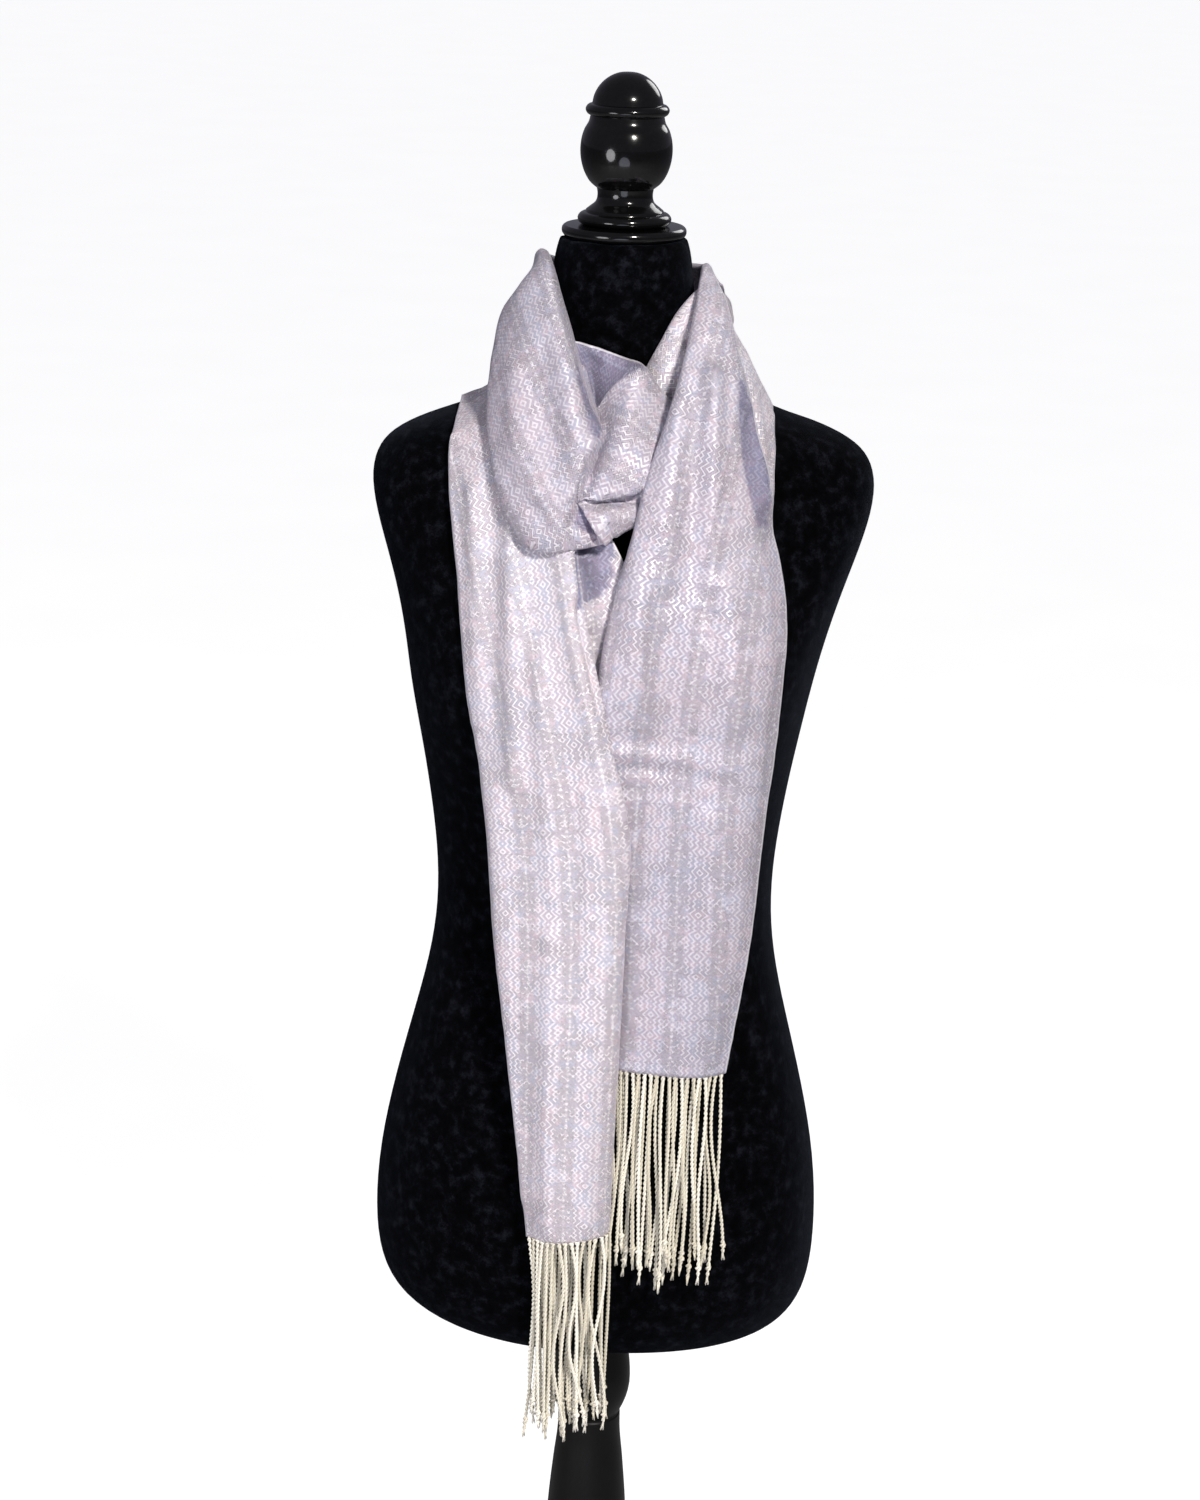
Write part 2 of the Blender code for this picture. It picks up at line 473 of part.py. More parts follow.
def loft(sections, steps, spacing, start, end):
    """The middle surface of a stretch: rows of points from section `start` to section `end`,
    each with the number of layers beneath it."""
    rows = np.array([section_curve(controls, steps) for controls in sections])
    count = rows.shape[1]
    spans = np.linalg.norm(np.diff(rows[:, :, :3], axis=0), axis=2).mean(axis=1)
    knots = np.concatenate(([0.0], np.cumsum(spans)))
    index = np.arange(len(sections))
    limits = np.interp((start, end), index, knots)
    wanted = [limits[0]]
    while wanted[-1] < limits[1] - 1e-9:
        here = np.interp(wanted[-1], knots, index)
        wanted.append(wanted[-1] + spacing(here))
    wanted = limits[0] + (np.array(wanted) - limits[0]) * (limits[1] - limits[0]) / (wanted[-1] - limits[0])
    return smooth(knots, rows.reshape(len(rows), -1), wanted).reshape(len(wanted), count, 4)


def surface_normals(grid):
    """Unit normals of a grid of points."""
    across = np.gradient(grid, axis=1)
    along = np.gradient(grid, axis=0)
    normals = np.cross(across, along)
    return normals / np.linalg.norm(normals, axis=2)[:, :, None]


def build_wall(name, grid, normals, thick, finish):
    """A closed wall about a grid of points."""
    offset = normals * thick / 2
    bm = bmesh.new()
    outer = [[bm.verts.new(co) for co in row] for row in grid + offset]
    inner = [[bm.verts.new(co) for co in row] for row in grid - offset]
    bridge(bm, outer, closed=False)
    bridge(bm, [row[::-1] for row in inner], closed=False)
    for first, second in ((outer[0], inner[0]), (outer[-1], inner[-1])):
        bridge(bm, [first, second], closed=False)
    for column in (0, -1):
        bridge(bm, [[row[column] for row in outer], [row[column] for row in inner]], closed=False)
    return add_object(name, bm, finish)


def build_fringe(name, hem, normals, finish):
    """A header strip just below a hem, with the strands fused to it by their roots."""
    down = np.array((0.0, 0.0, -1.0))
    length = chord_knots(hem)[-1]
    pitch = (length - 2 * STRAND) / STRANDS
    roots = [STRAND + pitch * (i + 0.5) for i in range(STRANDS)]
    stops = [0.0]
    for root in roots:
        stops += [root - STRAND / 2, root + STRAND / 2]
    stops.append(length)
    line = along_curve(hem, stops)
    side = np.array([np.interp(stops, chord_knots(hem), normals[:, axis]) for axis in range(3)]).T
    side /= np.linalg.norm(side, axis=1)[:, None]
    top = line + down * (GAP + CLOTH * 0.1)
    bottom = top + down * HEADER_HEIGHT
    corners = (top + side * STRAND / 2, bottom + side * STRAND / 2,
               bottom - side * STRAND / 2, top - side * STRAND / 2)

    bm = bmesh.new()
    strips = [[bm.verts.new(co) for co in corner] for corner in corners]
    for (one, two) in ((0, 1), (2, 3), (3, 0)):
        bridge(bm, [strips[one], strips[two]], closed=False)
    for end in (0, -1):
        bm.faces.new([strip[end] for strip in strips])
    for cell in range(len(stops) - 1):
        ring = [strips[1][cell], strips[1][cell + 1], strips[2][cell + 1], strips[2][cell]]
        if cell % 2 == 1:
            ring = hang_strand(bm, ring, cell // 2)
        bm.faces.new(ring)
    return add_object(name, bm, finish)


def hang_strand(bm, root, number):
    """Hang one four-sided strand from its root ring and return its last ring."""
    corners = np.array([vert.co for vert in root])
    middle = corners.mean(axis=0)
    length = FRINGE_LENGTH * (1 + 0.06 * sin(2.4 * number) + 0.05 * sin(0.7 * number + 1))
    ring = root
    for part, swell in ((0.45, 1.0), (0.93, 1.3), (1.0, 0.9)):
        sway = FRINGE_SWAY * part * sin(2 * pi * (0.8 * part + middle[0] / 0.07))
        shift = np.array((sway, sway * 0.3, -length * part))
        placed = [bm.verts.new(middle + (corner - middle) * swell + shift) for corner in corners]
        bridge(bm, [ring, placed], closed=True)
        ring = placed
    return ring


# --------------------------------------------------------------------------------- the model

def build_run(sections, steps, parts, form, under, finish):
    """The stretches of one run, each kept clear of the solids beneath it."""
    made, seam = {}, None
    for name, start, end in parts:
        end = min(end, len(sections) - 1)
        slow, fast = TAIL_ROWS.get(name, (0, 0))
        spacing = (lambda here: TAIL_STEP if slow <= here < fast else RUN_STEPS[name])
        grid = loft(sections, steps, spacing, start + (GAP_ROWS if start else 0), end)
        grid = push_out(grid, form, under[name])
        normals = surface_normals(grid)
        if seam is not None:
            normals[0] = seam
        seam = normals[-1]
        made[name] = (grid, normals, build_wall(name, grid, normals, CLOTH, finish))
        for later in under:
            if name in NEIGHBOURS.get(later, ()):
                under[later].append(made[name][2])
    return made


def main():
    """Build every piece of the form, the stand and the scarf."""
    for old in list(bpy.data.objects):
        bpy.data.objects.remove(old, do_unlink=True)
    velvet = material("velvet", VELVET_COLOUR, 0.95)
    gloss = material("gloss_black", GLOSS_COLOUR, 0.12)
    satin = material("satin_black", GLOSS_COLOUR, 0.35)
    cloth = material("woven_cloth", CLOTH_COLOUR, 0.7)
    yarn = material("fringe_yarn", FRINGE_COLOUR, 0.8)

    form = build_form(velvet)
    build_turned("neck_cap", CAP_PROFILE, 20, gloss)
    build_turned("stand_column", COLUMN_PROFILE, 20, satin)
    build_turned("stand_base", BASE_PROFILE, 36, satin)

    first = first_run_sections()
    second = second_run_sections()
    under = {name: [] for name, _, _ in FIRST_RUN_PARTS + SECOND_RUN_PARTS}
    made = build_run(first, FIRST_RUN_STEPS, FIRST_RUN_PARTS, form, under, cloth)
    made.update(build_run(second, SECOND_RUN_STEPS, SECOND_RUN_PARTS, form, under, cloth))

    left, right = made["left_tail"], made["right_tail"]
    build_fringe("left_fringe", left[0][0], left[1][0], yarn)
    build_fringe("right_fringe", right[0][-1], right[1][-1], yarn)


main()
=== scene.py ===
"""A woven neck scarf, looped round the neck of a limbless dress form on a turned stand.

Finishes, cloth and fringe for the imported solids.  Metres, +Z up, the form faces -Y and its pole
stands on the Z axis.  The scarf is one long cloth in two runs, as in the solids: left tail, over
the left shoulder, behind the neck and down the right shoulder; then the front loop, behind the
neck again and down as the right tail.
"""

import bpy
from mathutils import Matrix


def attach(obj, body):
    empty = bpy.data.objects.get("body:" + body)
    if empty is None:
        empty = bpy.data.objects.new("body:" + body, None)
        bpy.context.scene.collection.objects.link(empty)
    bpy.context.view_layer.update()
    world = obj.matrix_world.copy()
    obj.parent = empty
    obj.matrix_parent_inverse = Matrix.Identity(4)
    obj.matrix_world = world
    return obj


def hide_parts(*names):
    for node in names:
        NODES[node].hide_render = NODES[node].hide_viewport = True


bl_info = {
    "name": "Neck Scarf on a Dress Form",
    "version": (1, 0, 0),
    "blender": (4, 5, 0),
    "location": "3D View > Sidebar > Scarf",
    "description": "Models a looped woven scarf with its fringe, and finishes its form and stand",
    "category": "Add Mesh",
}

from math import cos, pi, radians, sin

import bpy
import numpy as np
from bpy.props import FloatProperty, FloatVectorProperty, IntProperty, PointerProperty
from mathutils import Matrix, Vector, noise
from mathutils.bvhtree import BVHTree

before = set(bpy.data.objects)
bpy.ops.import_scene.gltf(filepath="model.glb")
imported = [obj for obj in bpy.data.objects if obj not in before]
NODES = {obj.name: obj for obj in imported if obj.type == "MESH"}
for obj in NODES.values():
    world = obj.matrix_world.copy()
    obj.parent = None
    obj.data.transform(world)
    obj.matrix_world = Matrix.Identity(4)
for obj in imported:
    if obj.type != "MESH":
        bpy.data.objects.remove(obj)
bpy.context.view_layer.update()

# ------------------------------------------------------------------------------ the scarf's cut

LAYER = 0.0036             # from one layer of a fold to the next
HEM_RISE = 0.14            # the tails' edges climb towards the fold by this slope
CLEAR = 0.0022             # from a lower layer's surface to the middle of the cloth above it
REACH = 0.060              # how far out a layer that lies beneath is looked for
EASING = 6                 # rounds in which a lifted point's neighbours follow it
EASING_SHARE = 0.8         # and how far they do
# The cloth over a turned layer comes down from just before that layer's edge to just past it.
TURN_IN, TURN_OUT = 0.006, 0.010
RIGHT_HEM_RISE = HEM_RISE * 0.3        # the same slope on the right tail
RIDGE_SHARE = 0.7          # where the ridge lies between fold and brim, on the turn
FACE_SHARE = 0.45          # where the face's middle lies between fold and ridge
BRIM_SHARE = 0.3           # how far from the brim towards the ridge its last bend lies
UNDER_SHARES = (1.0, 0.7, 0.35)        # where the hidden layer's points lie in its width

# First run, left tail, from the hem up: height, the brim (its left edge) and the fold (its
# right edge) as x and y, how far the middle stands proud, how far the cloth turns back under
# the fold, how wide the last layer is, and how far that layer's end sinks towards the form.
LEFT_TAIL_ROWS = (
    # height brim_x   brim_y   fold_x   fold_y   crown   turn   tuck   sink
    (0.686, -0.0508, -0.1265, 0.0100, -0.1340, 0.0150, 0.052, 0.038, 0.000),
    (0.760, -0.0580, -0.1250, 0.0112, -0.1360, 0.0145, 0.053, 0.038, 0.000),
    (0.840, -0.0680, -0.1210, 0.0130, -0.1395, 0.0130, 0.054, 0.036, 0.000),
    (0.920, -0.0790, -0.1160, 0.0140, -0.1420, 0.0110, 0.055, 0.032, 0.000),
    (1.000, -0.0855, -0.1130, 0.0145, -0.1450, 0.0090, 0.056, 0.028, 0.002),
    (1.055, -0.0935, -0.1100, 0.0010, -0.1475, 0.0080, 0.050, 0.028, 0.006),
    (1.100, -0.1020, -0.1070, -0.0090, -0.1465, 0.0075, 0.042, 0.039, 0.010),
    (1.140, -0.1065, -0.1010, -0.0182, -0.1405, 0.0070, 0.036, 0.060, 0.012),
    (1.175, -0.1100, -0.0930, -0.0252, -0.1300, 0.0065, 0.034, 0.064, 0.005),
    (1.207, -0.1143, -0.0835, -0.0290, -0.1190, 0.0060, 0.034, 0.054, 0.003),
    (1.237, -0.1180, -0.0730, -0.0350, -0.1040, 0.0070, 0.036, 0.044, 0.000),
    (1.262, -0.1195, -0.0590, -0.0450, -0.0930, 0.0060, 0.038, 0.040, 0.000),
)
# First run round the neck: turn (0 is the form's front, 90 the viewer's left, 180 the back),
# then the brim and the fold as distance from the pole and height.
FIRST_TURN_ROWS = (
    # turn  brim_r  brim_z  fold_r  fold_z  crown    turn   tuck
    (69.0, 0.1262, 1.2760, 0.0760, 1.3220, -0.004, 0.034, 0.032),
    (90.0, 0.1200, 1.2830, 0.0660, 1.3420, -0.009, 0.034, 0.030),
    (118., 0.1190, 1.2720, 0.0650, 1.3500, -0.006, 0.036, 0.032),
    (150., 0.1140, 1.2640, 0.0680, 1.3540, 0.004, 0.038, 0.034),
    (180., 0.1110, 1.2590, 0.0700, 1.3540, 0.007, 0.038, 0.034),
    (210., 0.1110, 1.2640, 0.0680, 1.3560, 0.006, 0.038, 0.034),
    (242., 0.1110, 1.2780, 0.0630, 1.3660, 0.004, 0.036, 0.032),
    (270., 0.1085, 1.2880, 0.0600, 1.3740, 0.003, 0.034, 0.030),
)
# First run, right shoulder band, down to its end beneath the loop.
RIGHT_BAND_ROWS = (
    # brim_x brim_y   brim_z  fold_x  fold_y   fold_z  crown  turn   tuck
    (0.1090, -0.0330, 1.2800, 0.0530, -0.0400, 1.3770, 0.004, 0.034, 0.030),
    (0.1090, -0.0600, 1.2550, 0.0400, -0.0520, 1.3635, 0.006, 0.034, 0.030),
    (0.1070, -0.0790, 1.2240, 0.0290, -0.0590, 1.3450, 0.006, 0.030, 0.026),
    (0.0930, -0.0910, 1.2100, 0.0185, -0.0640, 1.3260, 0.006, 0.026, 0.022),
    (0.0680, -0.1000, 1.2060, 0.0100, -0.0680, 1.3060, 0.006, 0.024, 0.020),
)
# Second run, front loop, from its end under the right tail to the left side of the neck.  Each
# row is one section as x, y and height: the free edge by the neck, the valley, the swell, the
# lip of the fold and its bottom or crest, then the outer face, the ridge, the brim and the hem
# turned under.
LOOP_ROWS = (
    # edge, valley, swell
    # lip, crest, face
    # ridge, brim, hem
    ((0.055, -0.084, 1.296), (0.054, -0.098, 1.286), (0.051, -0.108, 1.274),
     (0.049, -0.113, 1.260), (0.048, -0.108, 1.248), (0.046, -0.114, 1.242),
     (0.045, -0.117, 1.237), (0.044, -0.113, 1.228), (0.046, -0.102, 1.233)),
    ((0.038, -0.084, 1.302), (0.033, -0.098, 1.292), (0.027, -0.112, 1.277),
     (0.021, -0.121, 1.255), (0.020, -0.111, 1.243), (0.018, -0.119, 1.238),
     (0.016, -0.122, 1.232), (0.014, -0.118, 1.226), (0.016, -0.104, 1.231)),
    ((0.016, -0.076, 1.329), (0.013, -0.090, 1.314), (0.008, -0.113, 1.290),
     (0.003, -0.124, 1.253), (0.002, -0.115, 1.243), (0.002, -0.124, 1.238),
     (0.001, -0.128, 1.231), (0.000, -0.123, 1.219), (0.003, -0.111, 1.226)),
    ((0.001, -0.072, 1.335), (0.000, -0.080, 1.309), (-0.008, -0.108, 1.282),
     (-0.015, -0.125, 1.249), (-0.015, -0.120, 1.243), (-0.013, -0.129, 1.236),
     (-0.011, -0.132, 1.227), (-0.010, -0.126, 1.213), (-0.008, -0.114, 1.221)),
    ((-0.014, -0.070, 1.340), (-0.008, -0.078, 1.299), (-0.015, -0.098, 1.273),
     (-0.023, -0.120, 1.247), (-0.025, -0.126, 1.243), (-0.026, -0.122, 1.232),
     (-0.026, -0.131, 1.222), (-0.025, -0.127, 1.210), (-0.021, -0.119, 1.218)),
    ((-0.023, -0.069, 1.342), (-0.012, -0.078, 1.294), (-0.013, -0.094, 1.276),
     (-0.018, -0.114, 1.262), (-0.022, -0.126, 1.260), (-0.033, -0.134, 1.240),
     (-0.040, -0.134, 1.224), (-0.042, -0.128, 1.207), (-0.036, -0.122, 1.216)),
    ((-0.030, -0.067, 1.344), (-0.016, -0.076, 1.300), (-0.012, -0.090, 1.287),
     (-0.012, -0.109, 1.285), (-0.016, -0.120, 1.287), (-0.037, -0.132, 1.259),
     (-0.054, -0.132, 1.231), (-0.060, -0.124, 1.209), (-0.052, -0.119, 1.218)),
    ((-0.037, -0.062, 1.346), (-0.025, -0.070, 1.322), (-0.020, -0.084, 1.309),
     (-0.020, -0.099, 1.308), (-0.024, -0.108, 1.311), (-0.046, -0.122, 1.280),
     (-0.065, -0.120, 1.248), (-0.075, -0.110, 1.227), (-0.063, -0.096, 1.232)),
    ((-0.042, -0.053, 1.348), (-0.034, -0.060, 1.338), (-0.029, -0.070, 1.330),
     (-0.028, -0.084, 1.330), (-0.032, -0.093, 1.333), (-0.055, -0.106, 1.307),
     (-0.076, -0.103, 1.277), (-0.086, -0.090, 1.260), (-0.074, -0.078, 1.261)),
    ((-0.047, -0.042, 1.350), (-0.041, -0.047, 1.350), (-0.036, -0.054, 1.350),
     (-0.035, -0.066, 1.351), (-0.039, -0.075, 1.354), (-0.060, -0.086, 1.335),
     (-0.082, -0.080, 1.313), (-0.092, -0.066, 1.300), (-0.081, -0.054, 1.296)),
    ((-0.053, -0.026, 1.352), (-0.048, -0.031, 1.360), (-0.043, -0.036, 1.367),
     (-0.043, -0.047, 1.373), (-0.046, -0.055, 1.377), (-0.064, -0.063, 1.361),
     (-0.082, -0.055, 1.343), (-0.090, -0.040, 1.331), (-0.082, -0.034, 1.322)),
    ((-0.056, -0.008, 1.354), (-0.053, -0.012, 1.370), (-0.049, -0.018, 1.382),
     (-0.050, -0.026, 1.393), (-0.053, -0.034, 1.397), (-0.066, -0.038, 1.384),
     (-0.079, -0.031, 1.367), (-0.085, -0.020, 1.352), (-0.078, -0.014, 1.342)),
)
# Second run behind the neck: as the first run's turn; `under` is the width of the layer that
# the fold hides.
SECOND_TURN_ROWS = (
    # turn  fold_r  fold_z  brim_r  brim_z  crown   under
    (88.0, 0.0575, 1.3980, 0.0820, 1.3440, 0.000, 0.036),
    (110., 0.0600, 1.3920, 0.0850, 1.3350, 0.001, 0.036),
    (145., 0.0690, 1.3830, 0.0970, 1.3210, 0.005, 0.036),
    (180., 0.0760, 1.3800, 0.1040, 1.3130, 0.006, 0.036),
    (215., 0.0720, 1.3820, 0.0980, 1.3220, 0.004, 0.036),
    (246., 0.0640, 1.3860, 0.0850, 1.3380, 0.001, 0.032),
    (268., 0.0595, 1.3900, 0.0730, 1.3620, 0.001, 0.028),
)
# Second run, right tail, from the neck down: height, then fold (left edge), ridge and brim (right
# edge) as x and y, how far the front stands proud between fold and ridge, and the width under.
RIGHT_TAIL_ROWS = (
    # height fold_x   fold_y   ridge_x ridge_y  brim_x  brim_y   crown   under
    (1.382, 0.0540, -0.0440, 0.0610, -0.0420, 0.0665, -0.0300, 0.001, 0.018),
    (1.366, 0.0514, -0.0700, 0.0695, -0.0690, 0.0747, -0.0520, 0.002, 0.022),
    (1.343, 0.0464, -0.0900, 0.0757, -0.0880, 0.0805, -0.0720, 0.004, 0.026),
    (1.318, 0.0398, -0.1060, 0.0782, -0.1040, 0.0850, -0.0890, 0.005, 0.032),
    (1.292, 0.0322, -0.1180, 0.0802, -0.1150, 0.0886, -0.0970, 0.006, 0.040),
    (1.258, 0.0216, -0.1260, 0.0849, -0.1200, 0.0990, -0.1000, 0.006, 0.048),
    (1.227, 0.0150, -0.1300, 0.0952, -0.1190, 0.1079, -0.1030, 0.006, 0.052),
    (1.192, 0.0065, -0.1330, 0.1050, -0.1210, 0.1170, -0.1060, 0.006, 0.054),
    (1.157, -0.0018, -0.1365, 0.1090, -0.1260, 0.1218, -0.1110, 0.006, 0.054),
    (1.115, -0.0086, -0.1378, 0.1093, -0.1300, 0.1207, -0.1150, 0.004, 0.056),
    (1.070, -0.0081, -0.1320, 0.1063, -0.1310, 0.1176, -0.1180, 0.003, 0.060),
    (1.008, -0.0035, -0.1265, 0.1012, -0.1310, 0.1118, -0.1190, 0.004, 0.066),
    (0.935, 0.0013, -0.1215, 0.0964, -0.1300, 0.1070, -0.1200, 0.006, 0.072),
    (0.819, 0.0061, -0.1212, 0.0772, -0.1290, 0.0921, -0.1205, 0.007, 0.078),
)

# Where the runs are parted into stretches, by the row they reach.
FIRST_RUN_PARTS = (
    ("left_tail", 0.0, 13.5), ("neck_turn_inner", 13.5, 18.6), ("right_shoulder_band", 18.6, 24.0),
)
SECOND_RUN_PARTS = (
    ("front_loop", 0.0, 11.6), ("neck_turn_outer", 11.6, 17.6), ("right_tail", 17.6, 33.0),
)

# Points from one control point of a section to the next.
FIRST_RUN_STEPS = (3, 3, 3, 2, 3, 2, 2, 2)
SECOND_RUN_STEPS = (2, 2, 2, 2, 3, 3, 2, 2)
SECOND_RUN_LAYERS = (0, 0, 0, 0, 1, 1, 1, 1, 0)    # layers beneath each control point
TAIL_STEP = 0.030          # distance between sections along a tail
RUN_STEPS = {              # and in the rest of each stretch
    "left_tail": 0.018, "neck_turn_inner": 0.018, "right_shoulder_band": 0.012,
    "front_loop": 0.010, "neck_turn_outer": 0.018, "right_tail": 0.016,
}
TAIL_ROWS = {"left_tail": (0, 10), "right_tail": (24, 33)}   # rows that hang straight
GAP_ROWS = 0.02            # share of a row left open between two stretches

# The stretches that a stretch lies on, besides the form.
NEIGHBOURS = {
    "front_loop": ("left_tail", "neck_turn_inner", "right_shoulder_band"),
    "neck_turn_outer": ("left_tail", "neck_turn_inner", "right_shoulder_band"),
    "right_tail": ("neck_turn_inner", "right_shoulder_band", "front_loop"),
}


# ------------------------------------------------------------------------------ smooth curves

def slopes(knots, points):
    """Slope at each knot, from the chords on its two sides."""
    spans = np.diff(knots)[:, None]
    chords = np.diff(points, axis=0) / spans
    inner = (chords[:-1] * spans[1:] + chords[1:] * spans[:-1]) / (spans[:-1] + spans[1:])
    return np.vstack((chords[:1], inner, chords[-1:]))


def smooth(knots, points, wanted):
    """Points at the parameters `wanted` on the smooth curve through `points`."""
    knots, points, wanted = (np.asarray(values, float) for values in (knots, points, wanted))
    slope = slopes(knots, points)
    index = np.clip(np.searchsorted(knots, wanted, side="right") - 1, 0, len(knots) - 2)
    span = (knots[index + 1] - knots[index])[:, None]
    t = (wanted[:, None] - knots[index][:, None]) / span
    return ((2 * t**3 - 3 * t**2 + 1) * points[index] + (t**3 - 2 * t**2 + t) * span * slope[index]
            + (3 * t**2 - 2 * t**3) * points[index + 1] + (t**3 - t**2) * span * slope[index + 1])


def running(lengths):
    """Distances from the start, from the lengths between points."""
    return np.concatenate(([0.0], np.cumsum(lengths)))


def chord_knots(points):
    """Parameters that follow the distance between points."""
    return running(np.linalg.norm(np.diff(points, axis=0), axis=-1))


def row_knots(rows):
    """Parameters that follow the mean distance between whole rows of points."""
    return running(np.linalg.norm(np.diff(rows[:, :, :3], axis=0), axis=2).mean(axis=1))


def section_curve(controls, steps):
    """One section: the smooth curve through its control points, `steps` points between each."""
    knots = chord_knots(controls[:, :3])
    wanted = [knots[0]]
    for start, end, count in zip(knots[:-1], knots[1:], steps):
        wanted += [start + (end - start) * (i + 1) / count for i in range(count)]
    return smooth(knots, controls, wanted)


def along_curve(points, distances):
    """Points at the given distances along a curve."""
    knots = chord_knots(points)
    return np.array([[np.interp(distance, knots, points[:, axis]) for axis in range(3)]
                     for distance in distances])


# ----------------------------------------------------------------------- the scarf's sections

def at_turn(turn, radius, height):
    """A point by its turn about the pole: 0 in front, 90 at the viewer's left."""
    angle = radians(turn)
    return np.array((-radius * sin(angle), -radius * cos(angle), height))


def outward(brims, folds):
    """For each section, the way that its outer face looks."""
    middles = (brims + folds) / 2
    runs = np.gradient(middles, axis=0)
    normals = np.cross(folds - brims, runs)
    return normals / np.linalg.norm(normals, axis=1)[:, None]


def first_run_rows():
    """Brim, fold, crown, turn, tuck and sink of each section of the first run."""
    rows = []
    for height, bx, by, fx, fy, crown, turn, tuck, sink in LEFT_TAIL_ROWS:
        fold_z = height + HEM_RISE * (fx - bx)
        rows.append(((bx, by, height), (fx, fy, fold_z), crown, turn, tuck, sink))
    for angle, brim_r, brim_z, fold_r, fold_z, crown, turn, tuck in FIRST_TURN_ROWS:
        rows.append((at_turn(angle, brim_r, brim_z), at_turn(angle, fold_r, fold_z),
                     crown, turn, tuck, 0.0))
    for bx, by, bz, fx, fy, fz, crown, turn, tuck in RIGHT_BAND_ROWS:
        rows.append(((bx, by, bz), (fx, fy, fz), crown, turn, tuck, 0.0))
    return rows


def first_run_sections():
    """Control points: the face from brim to fold, the layer turned under and the last layer.

    The fourth number of a control point is how many layers lie beneath it.
    """
    rows = first_run_rows()
    brims = np.array([row[0] for row in rows], float)
    folds = np.array([row[1] for row in rows], float)
    sections = []
    for (brim, fold, crown, turn, tuck, sink), out in zip(rows, outward(brims, folds)):
        brim, fold = np.array(brim), np.array(fold)
        width = np.linalg.norm(fold - brim)

        def face(distance, down=0.0):
            part = min(distance / width, 1.0)
            rise = 4 * crown * part * (1 - part)
            return fold + (brim - fold) * (distance / width) + out * (rise - down)

        def layers(distance):
            return float(np.interp(distance, (turn - TURN_IN, turn + TURN_OUT), (2.0, 0.0)))

        sections.append((
            (*face(width), layers(width)), (*face(0.66 * width), layers(0.66 * width)),
            (*face(0.33 * width), layers(0.33 * width)), (*fold, 2.0),
            (*face(0.0, LAYER), 1.0), (*face(turn, LAYER), 1.0), (*face(turn, 2 * LAYER), 0.0),
            (*face(turn - tuck / 2, 2 * LAYER + sink / 2), 0.0),
            (*face(turn - tuck, 2 * LAYER + sink), 0.0)))
    return np.array(sections)


def second_run_sections():
    """Control points: edge, valley, swell, lip, crest, face, ridge, brim and hem."""
    sections = [np.array(row) for row in LOOP_ROWS]
    layers = np.array(SECOND_RUN_LAYERS, float)[:, None]
    rows = []
    for angle, fold_r, fold_z, brim_r, brim_z, crown, under in SECOND_TURN_ROWS:
        rows.append((at_turn(angle, brim_r, brim_z), at_turn(angle, fold_r, fold_z), None,
                     crown, under))
    for height, fx, fy, rx, ry, bx, by, crown, under in RIGHT_TAIL_ROWS:
        rise = RIGHT_HEM_RISE * (bx - fx)
        rows.append(((bx, by, height), (fx, fy, height + rise), (rx, ry, height), crown, under))
    brims = np.array([row[0] for row in rows], float)
    folds = np.array([row[1] for row in rows], float)
    for (brim, fold, ridge, crown, under), out in zip(rows, outward(brims, folds)):
        brim, fold = np.array(brim), np.array(fold)
        if ridge is None:
            ridge = fold + (brim - fold) * RIDGE_SHARE + out * crown
        ridge = np.array(ridge)
        face = fold + (ridge - fold) * FACE_SHARE + out * crown
        near_brim = brim + (ridge - brim) * BRIM_SHARE
        outer = np.array((fold, face, ridge, near_brim, brim))
        places = [under * share for share in UNDER_SHARES]
        beneath = [point - out * LAYER for point in along_curve(outer, places)]
        sections.append(np.array(
            (*beneath, fold - out * LAYER, fold, face, ridge, near_brim, brim)))
    return np.array([np.hstack((section, layers)) for section in sections])


def mesh_tree(piece):
    """A tree of an object's faces, for finding what lies near."""
    mesh = piece.data
    return BVHTree.FromPolygons([vert.co for vert in mesh.vertices],
                                [list(face.vertices) for face in mesh.polygons])


def push_out(grid, form, solids):
    """Lift the points of a grid off the form and off the solids that lie on it.

    A point is lifted along the form's own normal, and its neighbours are eased along with it.
    """
    trees = [mesh_tree(solid) for solid in (form, *solids)]
    body = trees[0]
    clearance = CLEAR + np.maximum(grid[:, :, 3], 0.0) * LAYER
    grid = grid[:, :, :3].copy()
    rows, columns = grid.shape[:2]
    normals, lift = np.zeros_like(grid), np.zeros((rows, columns))
    for i in range(rows):
        for j in range(columns):
            point = Vector(grid[i, j])
            near, normal, _, distance = body.find_nearest(point)
            depth = (point - near).dot(normal)
            if depth > 0:
                normal = (point - near) / distance if distance > 1e-5 else normal
            normals[i, j] = normal
            for tree in trees:
                hit, _, _, reach = tree.ray_cast(point + normal * REACH, -normal, 2 * REACH)
                if hit is not None:
                    lift[i, j] = max(lift[i, j], clearance[i, j] + REACH - reach)
    for number in range(EASING):
        padded = np.pad(lift, 1, mode="edge")
        around = np.array((padded[:-2, 1:-1], padded[2:, 1:-1],
                           padded[1:-1, :-2], padded[1:-1, 2:]))
        follow = around.mean(axis=0) if number else around.max(axis=0)
        lift = np.maximum(lift, EASING_SHARE * follow)
    return grid + normals * lift[:, :, None]


